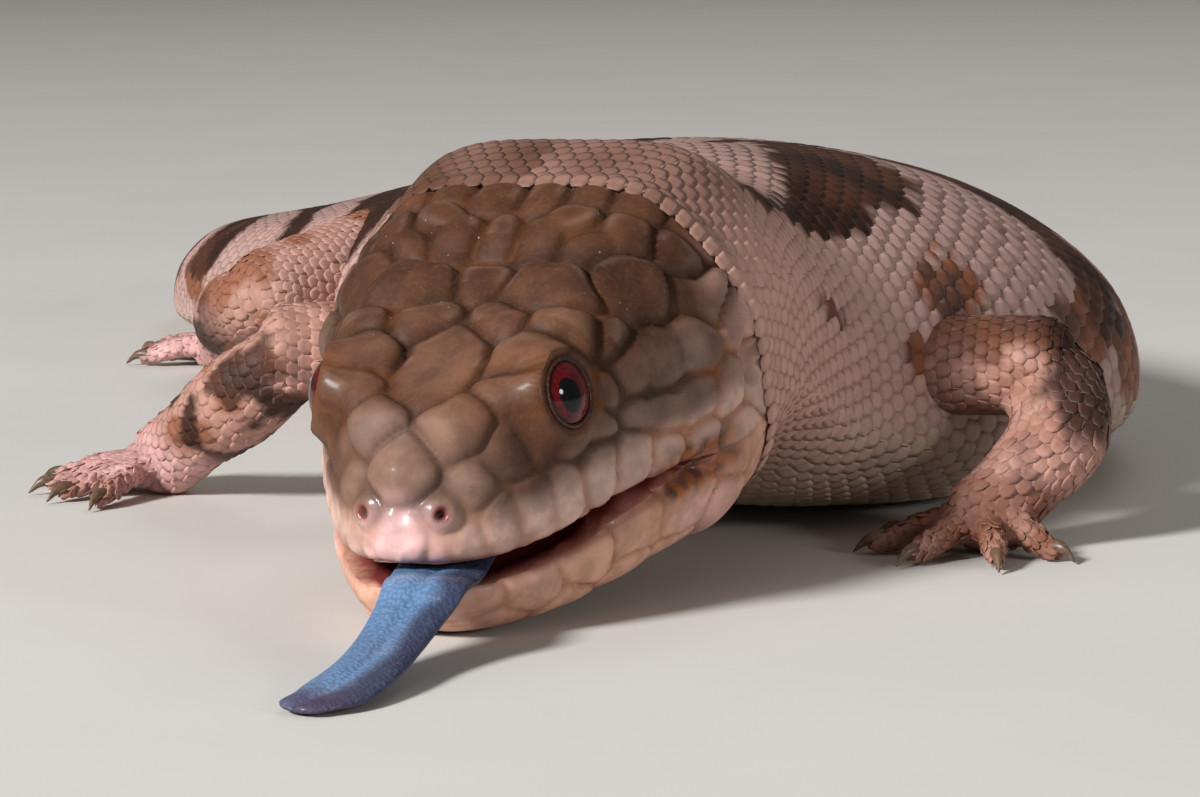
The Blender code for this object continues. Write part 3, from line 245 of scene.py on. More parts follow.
# Black patch and orange spots of the neck: station, section place, radius
NECK_PATCH = ((77, 1.15, 4.5), (86, 1.30, 6.0), (94, 1.10, 7.0), (103, 0.85, 8.0), (112, 0.60, 8.0),
              (121, 0.40, 6.5))
NECK_SPOTS = ((104, 1.95, 5.0), (125, 1.45, 3.5), (127, 2.40, 6.0), (80, 2.30, 2.5), (95, 2.60, 2.0))
NECK_SCALE = 20.0            # millimetres round the body for one section place

# Colours, linear
CROWN_BROWN = (0.115, 0.044, 0.022)
# CROWN_DARK: the crown's own darker tone, also used as painted shade in the head's hollows and beside its
# grooves
CROWN_DARK = (0.046, 0.017, 0.008)
CROWN_WARM = (0.20, 0.083, 0.041)
SNOUT_BEIGE = (0.30, 0.195, 0.155)
SNOUT_PINK = (0.84, 0.50, 0.48)
# CHEEK_GREY: the cheeks' own tone, also used as painted highlights on the shields' domes and rear edges
CHEEK_GREY = (0.35, 0.235, 0.185)
LABIAL_CREAM = (0.66, 0.44, 0.37)
JAW_CREAM = (0.68, 0.38, 0.27)
SEAM_ORANGE = (0.36, 0.11, 0.022)
# GROOVE_BROWN: dark seams between the shields, also painted shade in the openings of the nostrils
GROOVE_BROWN = (0.045, 0.018, 0.008)
EYE_ORANGE = (0.14, 0.050, 0.018)
LID_DARK = (0.035, 0.010, 0.008)
NECK_PINK = (0.60, 0.35, 0.285)
NAPE_BROWN = (0.115, 0.050, 0.030)
BACK_PINK = (0.36, 0.225, 0.195)
FLANK_PINK = (0.50, 0.315, 0.275)
BELLY_CREAM = (0.55, 0.40, 0.31)
BAND_BLACK = (0.026, 0.008, 0.005)
BAND_BROWN = (0.075, 0.025, 0.012)
BAND_ORANGE = (0.23, 0.066, 0.020)
LIMB_PINK = (0.46, 0.245, 0.195)
HAND_BROWN = (0.17, 0.055, 0.025)
MOUTH_RED = (0.20, 0.022, 0.022)
LIP_RED = (0.30, 0.085, 0.065)
LINING_RED = (0.20, 0.045, 0.035)
TONGUE_BLUE = (0.125, 0.235, 0.42)
# TONGUE_PALE is laid only on the tongue's upper face, so it is partly a painted highlight
TONGUE_PALE = (0.24, 0.36, 0.55)
# TONGUE_NAVY: painted shade on the tongue's side away from the key light
TONGUE_NAVY = (0.035, 0.035, 0.075)
# TONGUE_TIP: the tip's own tone, also a little painted shade on the tongue's underside
TONGUE_TIP = (0.075, 0.045, 0.085)
# TONGUE_HOLLOW: painted shade between the tongue's papillae; TONGUE_SHINE: a painted pale sheen
TONGUE_HOLLOW = (0.05, 0.06, 0.11)
TONGUE_SHINE = (0.42, 0.55, 0.74)
SKIN_PALE = (0.85, 0.66, 0.52)
DUST = (0.62, 0.55, 0.48)
SCALE_SHADE = (0.06, 0.03, 0.02)
# SCALE_ROOT: painted shade at a scale's root under the scale ahead; SCALE_EDGE: painted highlight on its free
# edge
SCALE_ROOT = (0.10, 0.045, 0.028)
SCALE_EDGE = (0.72, 0.58, 0.49)
PUPIL_BLACK = (0.002, 0.002, 0.003)
IRIS_DARK = (0.045, 0.001, 0.002)
IRIS_RED = (0.13, 0.004, 0.006)
EYE_RIM = (0.12, 0.10, 0.10)
CLAW_BROWN = (0.16, 0.085, 0.05)
CLAW_DARK = (0.03, 0.018, 0.012)
CLAW_PALE = (0.30, 0.20, 0.13)
FLOOR_TONES = ((0.62, 0.60, 0.57), (0.64, 0.62, 0.59))
BLACK, WHITE = (0.0, 0.0, 0.0), (1.0, 1.0, 1.0)
PUPIL_EDGE = 0.37            # radius of the pupil against the eyeball's
PUPIL_NARROW, PUPIL_TALL = 1.20, 0.85   # distances from the pupil count for more along, for less upwards
EYE_RINGS, EYE_AROUND = 40, 48
LID_AROUND, LID_RING = 100, 10   # points round the eye and round the rim of the lids

# Camera: place in millimetres before the move to the frame, degrees of looking down, focal length
CAMERA_PLACE = np.array((23.16, -423.756, 87.734))
CAMERA_DOWN = 8.0
CAMERA_LENS = 120.0
# Lights: name, place and aim in metres, width, watts
LIGHTS = (
    ("key", (-1.70, -1.70, 1.35), (0.0, -0.15, 0.03), 0.55, 30.5),
    ("fill", (1.9, -1.5, 0.8), (0.0, -0.1, 0.03), 0.45, 2.8),
    ("back", (0.7, 1.9, 1.9), (0.0, 0.0, 0.03), 1.2, 3.4),
)
LIGHT_SPREAD = 100.0         # degrees
ROOM_LIGHT = (1.0, 0.97, 0.93)
ROOM_STRENGTH = 0.16
FLOOR_REACH = 3.0            # metres from the middle of the floor to its edge


def pchip(xs, ys, x):
    """Monotone cubic through ys at xs, read at x."""
    xs, ys = np.asarray(xs, float), np.asarray(ys, float)
    step = np.diff(xs)
    slope = np.diff(ys, axis=0) / (step[:, None] if ys.ndim > 1 else step)
    tangent = np.zeros_like(ys)
    same = slope[:-1] * slope[1:] > 0
    with np.errstate(divide="ignore", invalid="ignore"):
        mean = 2 * slope[:-1] * slope[1:] / (slope[:-1] + slope[1:])
    tangent[1:-1] = np.where(same, mean, 0.0)
    tangent[0], tangent[-1] = slope[0], slope[-1]
    i = np.clip(np.searchsorted(xs, x, side="right") - 1, 0, len(xs) - 2)
    t = np.clip((np.asarray(x, float) - xs[i]) / step[i], 0.0, 1.0)
    h = step[i]
    if ys.ndim > 1:
        t, h = np.expand_dims(t, -1), np.expand_dims(h, -1)
    return ((1 + 2 * t) * (1 - t) ** 2 * ys[i] + t * (1 - t) ** 2 * h * tangent[i]
            + t * t * (3 - 2 * t) * ys[i + 1] + t * t * (t - 1) * h * tangent[i + 1])


def unit(v):
    """The vectors v at length one."""
    v = np.asarray(v, float)
    return v / np.maximum(np.linalg.norm(v, axis=-1, keepdims=True), 1e-12)


def smooth(t):
    """Smooth step from 0 to 1."""
    t = np.clip(t, 0.0, 1.0)
    return t * t * (3 - 2 * t)


def bell(x, width):
    """Bell curve of x, one at 0 and about a third at width."""
    return np.exp(-(x / width) ** 2)


def run_lengths(points):
    """Distance walked along rows of points, from 0."""
    return np.concatenate(([0.0], np.cumsum(np.linalg.norm(np.diff(points, axis=0), axis=1))))


def mixed(a, b, w):
    """Rows of colour a turned into b by the weights w."""
    w = np.asarray(w, float)[..., None]
    return np.asarray(a) * (1 - w) + np.asarray(b) * w


def layered(colour, *layers):
    """Rows of colour turned into the tone of each layer in turn, by its weights."""
    for tone, weight in layers:
        colour = mixed(colour, tone, weight)
    return colour


def lattice_noise(points, size, seed):
    """Smooth noise from 0 to 1 over rows of points, its lumps size millimetres across."""
    table = np.random.RandomState(seed).rand(32, 32, 32)
    p = np.asarray(points, float) / size + 100.0
    i = np.floor(p).astype(int)
    f = smooth(p - i)
    value = 0.0
    for corner in range(8):
        o = [(corner >> axis) & 1 for axis in range(3)]
        weight = 1.0
        for axis in range(3):
            weight = weight * (f[..., axis] if o[axis] else 1 - f[..., axis])
        value = value + weight * table[tuple((i[..., axis] + o[axis]) % 32 for axis in range(3))]
    return value


def head_axes():
    """Forward, left and up of the head."""
    yaw, pitch, roll = (math.radians(a) for a in (HEAD_YAW, HEAD_PITCH, HEAD_ROLL))
    level = np.array((-math.sin(yaw), -math.cos(yaw), 0.0))
    forward = level * math.cos(pitch) - np.array((0.0, 0.0, math.sin(pitch)))
    across = np.array((math.cos(yaw), -math.sin(yaw), 0.0))
    left = across * math.cos(roll) + np.cross(forward, across) * math.sin(roll)
    return forward, left, np.cross(forward, left)


HEAD_FORWARD, HEAD_LEFT, HEAD_UP = head_axes()
HEAD_ORIGIN = np.array((0.0, 0.0, SNOUT_HEIGHT))


def from_head(x, y, z):
    """Millimetre point before the move to the frame's origin, given in the head's frame."""
    return HEAD_ORIGIN + x * HEAD_FORWARD + y * HEAD_LEFT + z * HEAD_UP


def to_head(points):
    """Rows of points turned into the head's own frame."""
    d = points - HEAD_ORIGIN
    return np.stack((d @ HEAD_FORWARD, d @ HEAD_LEFT, d @ HEAD_UP), -1)


def move_to_frame():
    """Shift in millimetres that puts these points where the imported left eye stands."""
    low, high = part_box("eye_left")
    middle = np.array((low + high) / 2) / MM
    return middle - from_head(*EYE_CENTRE)


SHIFT = move_to_frame()


def body_path():
    """Middle line of the body in plan, one row of X, Y for each millimetre from the neck back."""
    stations = np.arange(NECK_BLEND[0], TAIL_END + 1.0)
    table = np.array(HEADINGS, float)
    heading = np.radians(pchip(table[:, 0], table[:, 1], stations))
    steps = np.stack((np.sin(heading), np.cos(heading)), 1)
    start = from_head(-NECK_BLEND[0], 0, 0)[:2]
    walked = np.vstack((np.zeros(2), np.cumsum((steps[1:] + steps[:-1]) / 2, axis=0)))
    return stations, start + walked, heading


PATH_S, PATH_XY, PATH_HEADING = body_path()
BODY = np.array(BODY_SECTIONS, float)


def spine(s):
    """Point, left and up of the section at station s."""
    head = from_head(-s, 0, 0)
    if s <= NECK_BLEND[0]:
        return head, HEAD_LEFT, HEAD_UP
    xy = np.array([np.interp(s, PATH_S, PATH_XY[:, i]) for i in (0, 1)])
    heading = np.interp(s, PATH_S, PATH_HEADING)
    top, under = pchip(BODY[:, 0], BODY[:, 2:4], max(s, BODY[0, 0]))
    body = np.array((xy[0], xy[1], (top + under) / 2))
    w = smooth((s - NECK_BLEND[0]) / (NECK_BLEND[1] - NECK_BLEND[0]))
    left = unit((1 - w) * HEAD_LEFT + w * np.array((math.cos(heading), -math.sin(heading), 0.0)))
    up = (1 - w) * HEAD_UP + w * np.array((0.0, 0.0, 1.0))
    up = unit(up - left * (up @ left))
    return (1 - w) * head + w * body, left, up


def body_controls(half_width, top, under, fullness):
    """Seven points y, z down one side of a body section about its middle height."""
    height = top - under
    level = height * (WIDEST_LEVEL - 0.5)
    points = []
    for angle in SECTION_ANGLES:
        a = math.radians(angle)
        power = 2 / (fullness if angle > 0 else BELLY_FULLNESS)
        reach = height / 2 - level if angle > 0 else height / 2 + level
        points.append((half_width * max(math.cos(a), 0.0) ** power,
                       level + math.copysign(abs(math.sin(a)) ** power, a) * reach))
    return points


def control_table():
    """Stations, and for each its seven section points y, z."""
    rows = []
    for r in HEAD_SECTIONS:
        rows.append((r[0], [(0.0, r[1])] + [(r[i], r[i + 1]) for i in (2, 4, 6, 8, 10)] + [(0.0, r[12])]))
    for s, half_width, top, under, fullness in BODY_SECTIONS:
        rows.append((s, body_controls(half_width, top, under, fullness)))
    return np.array([r[0] for r in rows], float), np.array([r[1] for r in rows], float)


STATIONS, CONTROLS = control_table()


def section(s, ks):
    """Points y, z of the left half section at station s; k runs 0 at the crown to 6 at the belly."""
    p = pchip(STATIONS, CONTROLS.reshape(len(STATIONS), -1), s).reshape(7, 2)
    p = np.vstack((p[1] * (-1, 1), p, p[5] * (-1, 1)))
    d = np.maximum(np.linalg.norm(np.diff(p, axis=0), axis=1), 1e-6) ** 0.5
    ks = np.asarray(ks, float)
    i = np.clip(ks.astype(int), 0, 5)
    t = (ks - i)[:, None]
    a, b, c, e = p[i], p[i + 1], p[i + 2], p[i + 3]
    da, db, dc = d[i][:, None], d[i + 1][:, None], d[i + 2][:, None]
    mb = ((b - a) / da - (c - a) / (da + db) + (c - b) / db) * db
    mc = ((c - b) / db - (e - b) / (db + dc) + (e - c) / dc) * db
    return ((1 + 2 * t) * (1 - t) ** 2 * b + t * (1 - t) ** 2 * mb
            + t * t * (3 - 2 * t) * c + t * t * (t - 1) * mc)


def crown_chart():
    """Stations against distance along the crown from the lip."""
    stations = np.concatenate((np.linspace(3.0, 9.0, 25), np.linspace(9.5, 66.0, 80)))
    crown = np.array([(s, section(s, [0.0])[0, 1]) for s in stations])
    return stations, run_lengths(crown)


CHART_S, CHART_ALONG = crown_chart()


class Ring:
    """One whole section of the skin: its points, place names and frame, crown first, left side first."""

    def __init__(self, s, counts):
        parts = [np.linspace(i, i + 1, n, endpoint=False) for i, n in enumerate(counts)]
        ks = np.concatenate(parts + [[6.0]])
        half = section(s, ks)
        point, left, up = spine(s)
        yz = np.vstack((half, half[-2:0:-1] * (-1, 1)))
        self.points = point + yz[:, :1] * left + yz[:, 1:] * up
        self.k = np.concatenate((ks, ks[-2:0:-1]))
        arc = run_lengths(half)
        self.over = np.concatenate((arc, -arc[-2:0:-1]))
        self.s = s


def grid_normals(points, before, after):
    """Outward unit normals of a closed ring from its neighbour rings."""
    around = np.roll(points, -1, axis=0) - np.roll(points, 1, axis=0)
    return unit(np.cross(around, after - before))


def above_floor(z):
    """Heights pressed up so that none is under the floor."""
    return np.where(z < FLOOR_PRESS, FLOOR_PRESS * np.exp(np.minimum(z, FLOOR_PRESS) / FLOOR_PRESS - 1), z)


def surface(s, ks, sides):
    """Points of the skin at station s, section places ks, on the given sides."""
    point, left, up = spine(s)
    yz = section(s, ks)
    return point + (sides * yz[:, 0])[:, None] * left + yz[:, 1:] * up


def arc_down(s):
    """Section places k and the distance over from the crown at each, down one side at station s."""
    ks = np.linspace(0, 6, 97)
    return ks, run_lengths(section(s, ks))


def shield_seeds():
    """Middle, ground won, rise, distance along and shield number of every spot on both sides."""
    seeds, number = [], 0
    for name, rise, spots in SHIELDS:
        middle_along = sum(spot[0] for spot in spots) / len(spots)
        for side in ((1, -1) if spots[0][1] > 0 else (1,)):
            number += 1
            for along, over, size in spots:
                s = float(np.interp(along, CHART_ALONG, CHART_S))
                ks, arc = arc_down(s)
                k = float(np.interp(min(over, arc[-1] * 0.93), arc, ks))
                middle = surface(s, [k], np.array([side]))[0]
                seeds.append((*middle, (SHIELD_GRAIN * size) ** 2, rise, middle_along, number))
    return np.array(seeds)


SEEDS = shield_seeds()


def shield_field(points):
    """Distance in from the nearest groove and the nearest spot's row, for rows of skin points."""
    wobble = np.stack([lattice_noise(points, 4.2, seed) - 0.5 for seed in (11, 12, 13)], -1)
    wobble = wobble + 0.12 * np.stack([lattice_noise(points, 1.2, seed) - 0.5 for seed in (16, 17, 18)], -1)
    p = points + 1.3 * wobble
    middles, ground = SEEDS[:, :3], SEEDS[:, 3]
    power = (p * p).sum(axis=1)[:, None] - 2 * p @ middles.T + (middles * middles).sum(axis=1) - ground
    own = power.argmin(axis=1)
    gap = (power - power.min(axis=1)[:, None]) / (2 * SPOT_SPACING)
    gap[SEEDS[own, 6][:, None] == SEEDS[:, 6]] = np.inf
    nearest = np.sort(np.partition(gap, 2, axis=1)[:, :3], axis=1)
    depth = -GROOVE_CORNER * np.log(np.exp(-nearest / GROOVE_CORNER).sum(axis=1))
    return np.maximum(depth, 0.0), own


def patch_reach(s, k, patches):
    """Millimetres outside the nearest of some round patches, less than 0 inside one."""
    chart = np.stack((s, k * NECK_SCALE), -1)
    return np.min([np.linalg.norm(chart - (at, level * NECK_SCALE), axis=-1) - wide
                   for at, level, wide in patches], axis=0)


def body_marks(points, s, k, side):
    """Colour of the trunk and tail: pale pink ground, cream belly, dark saddles, orange blotches."""
    seeded = points + np.array((0.0, 0.0, 40.0)) * side[..., None]
    ragged = 15.0 * (lattice_noise(seeded, 13.0, 3) - 0.5) + 7.0 * (lattice_noise(seeded, 4.5, 4) - 0.5)
    lean = s + 6.0 * np.minimum(k, 2.8)
    half = np.interp(s, (60, 110, 260, 340, 470), (4.0, 9.5, 8.5, 6.5, 4.0))
    distance = np.abs(lean[..., None] - SADDLES).min(axis=-1)
    saddle = smooth((half - distance + ragged - 3.0 * smooth((k - 1.3) / 0.7)) / 1.6 + 0.5)
    saddle = saddle * smooth((2.5 + 0.05 * ragged - k) / 0.35)
    apart = np.abs(lean[..., None] - 6.0 - SADDLES).min(axis=-1)
    blotch = smooth((half * 0.75 - apart + 1.3 * ragged - 1.0) / 1.4 + 0.5)
    blotch = blotch * smooth((k - 1.5) / 0.4) * smooth((3.9 - k) / 0.6)
    nape = smooth((86 - s) / 24) * smooth((2.0 - k) / 1.0)
    dark = mixed(BAND_BLACK, BAND_BROWN, smooth((lattice_noise(seeded, 6.0, 5) - 0.35) / 0.4))
    orange = mixed(BAND_ORANGE, BAND_BROWN, smooth((lattice_noise(seeded, 4.0, 6) - 0.45) / 0.3))
    neck = smooth((0.45 * ragged - patch_reach(s, k, NECK_PATCH)) / 1.4 + 0.5)
    spots = smooth((0.5 * ragged - patch_reach(s, k, NECK_SPOTS)) / 1.4 + 0.5)
    return layered(
        BACK_PINK,
        (FLANK_PINK, smooth((k - 0.5) / 1.2)),
        (BELLY_CREAM, smooth((k - 3.0) / 1.2)),
        (NECK_PINK, smooth((96 - s) / 30)),
        (NAPE_BROWN, nape * np.clip(1.25 - 0.9 * lattice_noise(seeded, 8.0, 7), 0, 1)),
        (orange, np.maximum(blotch * smooth((s - 128) / 8), spots) * 0.9),
        (dark, np.maximum(saddle * smooth((s - 124) / 8), neck)))


def limb_marks(points, reach):
    """Colour of the limbs: pink ground, orange spots, black blotches."""
    blotch = 0.55 * lattice_noise(points, 8.5, 21) + 0.45 * lattice_noise(points, 2.8, 23)
    spot = lattice_noise(points, 5.0, 22)
    dark = mixed(BAND_BLACK, BAND_BROWN, smooth((lattice_noise(points, 3.5, 24) - 0.4) / 0.4))
    return layered(
        FLANK_PINK,
        (LIMB_PINK, smooth(reach / 0.3)),
        (BAND_ORANGE, 0.75 * smooth((spot - 0.52) / 0.16)),
        (dark, smooth((blotch - 0.50) / 0.07) * smooth((reach - 0.30) / 0.25) * 0.95))


def eye_frame(side):
    """Axis of one eye and two directions across it, in the head's frame."""
    axis = unit(EYE_AXIS * (1, side, 1))
    across = unit(np.cross(axis, (0.0, 0.0, 1.0)))
    return axis, across, np.cross(across, axis)


def eye_place(local, side):
    """Height along the eye's axis and distance from it, for rows of head points."""
    axis = eye_frame(side)[0]
    d = local - EYE_CENTRE * (1, side, 1)
    height = d @ axis
    return height, np.linalg.norm(d - height[..., None] * axis, axis=-1)


def nostril_distance(local, side):
    """Distance of head points from one nostril."""
    return np.linalg.norm(local - NOSTRIL * (1, side, 1), axis=1)


def corner_crust(s, above, below, width):
    """How much of the dry crust at the corner of the mouth is here, from 0 to 1."""
    return bell(s - MOUTH_CORNER + 4.0, 7.0) * bell(np.minimum(np.abs(above), np.abs(below)), width)


def lid_height(r):
    """Height of the lids over the middle of the eye, at distance r from its axis."""
    ball = np.sqrt(np.maximum(EYEBALL ** 2 - np.asarray(r, float) ** 2, 0.3))
    return EYE_OUT + EYE_FLAT * ball + LID_COVER


def head_forms(points, normals, along, over, k, lip_up, lip_low, s):
    """Move and colour the head's rings: shields, lips, eye sockets, nostrils and ears."""
    side = np.where(over >= 0, 1.0, -1.0)
    depth, own = shield_field(points)
    fade = smooth((SHIELDS_END - along) / 3.0)
    rise = SEEDS[own, 4] * fade
    local = to_head(points)
    one_side = np.column_stack((local[:, 0], local[:, 1] * side, local[:, 2]))
    sharp = 0.30 + 0.70 * smooth((along - 19) / 8)
    sharp = sharp * smooth((np.linalg.norm(one_side - EYE_CENTRE, axis=1) - 5.5) / 3.5)
    height = rise * (1 - np.exp(-depth / SHIELD_DOME))
    height = height - GROOVE_DEPTH * sharp * fade * (1 - smooth(depth / GROOVE_WIDTH))
    tilt = SHIELD_TILT * np.clip((along - SEEDS[own, 5]) / 4.0, -1, 1)
    height = height + rise * tilt * smooth(depth / 0.5) * sharp
    height = height + 0.35 * fade * (lattice_noise(points, 5.0, 14) - 0.5) * smooth(depth / 1.0)
    lumps = smooth((9.5 - along) / 3) * smooth(along / 2)
    height = height + 0.45 * (lattice_noise(points, 1.9, 35) - 0.5) * lumps
    distance = np.abs(over)

    # lips and the crust at the corner of the mouth
    open_here = smooth((MOUTH_CORNER + 1.5 - s) / 4.0)
    above, below = lip_up - distance, distance - lip_low
    for gap in (above, below):
        t = np.clip(1 - gap / LIP_ROUND, 0.0, 1.0)
        height = height - open_here * LIP_DEPTH * (1 - np.sqrt(np.maximum(1 - t * t, 0.0)))
    height = height + LIP_SWELL * (bell(above - 1.9, 1.2) + bell(below - 1.9, 1.3)) * open_here
    height = height + corner_crust(s, above, below, 1.7) * (lattice_noise(points, 1.4, 19) - 0.35)
    height = height - 0.9 * (bell(s - MOUTH_CORNER - 1.2, 1.5) * bell(above + 1.0, 3.2))

    # nostrils and ears
    offset = normals * height[..., None]
    for sign in (1, -1):
        hole = nostril_distance(local, sign)
        rim = NOSTRIL_RIM * bell(hole - 1.25, 0.5) - NOSTRIL_DEPTH * smooth((0.85 - hole) / 0.5)
        q = np.hypot((local[:, 0] - EAR[0]) / EAR_SIZE[0], (local[:, 2] - EAR[2]) / EAR_SIZE[1])
        cup = (side == sign) * (local[:, 1] * sign > 18) * EAR_DEPTH * smooth((1.05 - q) / 0.5)
        offset = offset + normals * (rim - cup)[..., None]
    formed = points + offset

    # eye sockets
    eye_near = np.full(len(points), 99.0)
    for sign in (1, -1):
        up, r = eye_place(to_head(formed), sign)
        near = (up > -1.0) & (side == sign)
        eye_near = np.where(near, np.minimum(eye_near, r), eye_near)
        axis = eye_frame(sign)[0] @ np.array((HEAD_FORWARD, HEAD_LEFT, HEAD_UP))
        inner = smooth((LID_OPEN + 1.4 - r) / 1.3)
        lid = lid_height(np.minimum(r, LID_OPEN))
        want = inner * lid + (1 - inner) * np.maximum(up, lid)
        ripple = 0.13 * np.cos((r - 5.0) * 4.4) * smooth((7.4 - r) / 1.5) * smooth((r - 4.0) / 0.6)
        ripple = ripple * (0.2 + lattice_noise(points, 2.5, 15))
        move = (want - up) * smooth((6.6 - r) / 1.6) + ripple - SOCKET_DEPTH * smooth((LID_OPEN - r) / 0.45)
        formed = formed + axis * (near * move)[..., None]
    colour, wet = head_colours(points, along, distance, k, depth, own, above, below, eye_near, local, s)
    return formed, colour, wet


def head_colours(points, along, distance, k, depth, own, above, below, eye_near, local, s):
    """Colour of the head's skin, with painted highlights and shade about its shields, its dust in the fourth
    column, and its wetness.
    """
    cloud, lump, fine = (lattice_noise(points, *kind) for kind in ((5.5, 31), (9.0, 33), (1.7, 32)))
    own_tone = np.random.RandomState(5).rand(len(SEEDS))[own]
    fade = smooth((SHIELDS_END - along) / 3.0)
    ripe = smooth((along - 19) / 8)
    jaw = smooth((k - 3.3) / 0.4)

    # crown, muzzle, cheeks and jaw, with painted highlights on the shields' domes and painted shade in
    # hollows before and behind the eye
    warm = smooth((lump - 0.45) / 0.3) * (1 - 0.6 * smooth((along - 32) / 12))
    # painted highlight: the middle of each shield's dome turned paler grey, away from its grooves
    painted_dome_highlight = smooth(depth / 2.6) * (0.3 + 0.7 * cloud) * smooth((46 - along) / 14)
    muzzle = mixed(SNOUT_BEIGE, CROWN_WARM, 0.5 * smooth((lump - 0.4) / 0.3))
    flank = mixed(CHEEK_GREY, CROWN_WARM, 0.45 * smooth((cloud - 0.45) / 0.3))
    # painted shade in the crease before the eye and on the temple behind it
    hollow = np.maximum(bell(along - 19.5, 4.0) * bell(distance - 13.0, 3.0),
                        bell(along - 51, 6.0) * bell(distance - 23.5, 5.0))
    low = layered(
        JAW_CREAM,
        (BELLY_CREAM, smooth((below - 9) / 10)),
        (SNOUT_PINK, 0.5 * smooth((lump - 0.45) / 0.3)),
        (SEAM_ORANGE, 0.30 * smooth((cloud - 0.60) / 0.2) * smooth((6 - below) / 5)))
    colour = layered(
        CROWN_BROWN,
        (CROWN_DARK, 0.80 * smooth((along - 24) / 20) * (0.45 + 0.55 * own_tone)),
        (CROWN_WARM, 0.6 * warm),
        # painted highlight on the shields' domes
        (CHEEK_GREY, 0.16 * painted_dome_highlight),
        (muzzle, smooth((20.5 - along) / 9)),
        (flank, 0.85 * smooth((distance - 15 - 0.16 * along) / 7.0) * (1 - 0.5 * own_tone)),
        # painted shade in those two hollows
        (CROWN_DARK, 0.75 * hollow * (0.5 + 0.5 * cloud)),
        (NECK_PINK, 0.8 * (smooth((along - 50) / 9) * smooth((distance - 20) / 12))),
        (LABIAL_CREAM, smooth((7.0 - above) / 4.0) * (k < 3.5)),
        (SNOUT_PINK, smooth((9.0 - along) / 4.5) * (0.6 + 0.4 * fine)),
        (low, jaw))

    # seams between the shields, with painted highlights on their rear edges and painted shade beside their
    # grooves
    pale = np.maximum(jaw, smooth((7.0 - above) / 3.0))
    pale = np.maximum(pale, 0.6 * smooth((distance - 29) / 3))
    line = bell(depth, 0.32 + 0.14 * fine) * (0.35 + 0.65 * ripe)
    # painted highlight along the raised rear edge of each crown shield
    painted_edge_highlight = bell(depth - 1.0, 0.35) * (1 - pale) * (along > SEEDS[own, 5]) * ripe
    seam = mixed(GROOVE_BROWN, SEAM_ORANGE, np.clip(0.8 * pale + 0.30 * smooth((cloud - 0.58) / 0.1), 0, 1))
    quiet = 1 - 0.75 * smooth((below - 6) / 8) - 0.45 * jaw * smooth((22 - along) / 8)
    firm = np.clip(1.3 * SEEDS[own, 4] - 0.35, 0.05, 1)
    colour = layered(
        colour,
        # painted highlight on the shields' rear edges
        (CHEEK_GREY, 0.30 * painted_edge_highlight * fade * fine),
        (seam, (0.85 - 0.30 * pale) * line * fade * np.clip(quiet, 0.1, 1)),
        # painted shade: a soft dark band beside each groove of the raised shields
        (CROWN_DARK, 0.40 * bell(depth, 0.9) * fade * (1 - 0.8 * pale) * firm),
        (SEAM_ORANGE, 0.20 * bell(depth, 1.0) * pale * fade * (lump > 0.4)))

    # round the eye, corner of the mouth, lips and nostrils
    ahead_of_eye = smooth((local[:, 0] - EYE_CENTRE[0] + 2.5) / 4.0)
    ring = 0.65 * smooth((7.6 - eye_near) / 3.0) * (0.25 + 0.75 * ahead_of_eye)
    ring = ring * (0.5 + 0.5 * smooth(cloud / 0.6))
    ring = np.maximum(ring, smooth((LID_OPEN + 0.7 - eye_near) / 0.7))
    corner = corner_crust(s, above, below, 2.1)
    crust = mixed(SEAM_ORANGE, CROWN_BROWN, smooth((lattice_noise(points, 1.1, 36) - 0.35) / 0.25))
    edge = bell(np.maximum(above, 0), 0.5) * (k < 3.5) + bell(np.maximum(below, 0), 0.5) * jaw
    edge = np.clip(edge, 0, 1) * (s < MOUTH_CORNER)
    hole = np.minimum(nostril_distance(local, 1), nostril_distance(local, -1))
    colour = layered(
        colour,
        (EYE_ORANGE, 0.9 * ring),
        (LID_DARK, smooth((LID_OPEN + 0.75 - eye_near) / 0.45)),
        (crust, np.clip(1.7 * corner * (0.25 + fine), 0, 1)),
        (LIP_RED, 0.55 * edge),
        (MOUTH_RED, 0.8 * smooth((1.3 - hole) / 0.6)),
        # painted shade: the middle of each nostril darkened as the depth of its opening
        (GROOVE_BROWN, smooth((0.8 - hole) / 0.4)))
    wet = smooth((11 - along) / 4) * 0.8 + 0.6 * edge + 0.5 * corner + 0.4 * ring

    dust = smooth((along - 24) / 12) * smooth((24 - distance) / 8) * (0.25 + 0.75 * bell(depth, 0.8))
    dust = dust * smooth((lattice_noise(points, 7.0, 34) - 0.3) / 0.3)
    return np.column_stack((colour, dust * fade)), np.clip(wet, 0, 1)


def four(colours):
    """Rows of colour with the dust as fourth number, 0 where none is given."""
    colours = np.asarray(colours, float)
    return colours if colours.shape[1] == 4 else np.column_stack((colours, np.zeros(len(colours))))


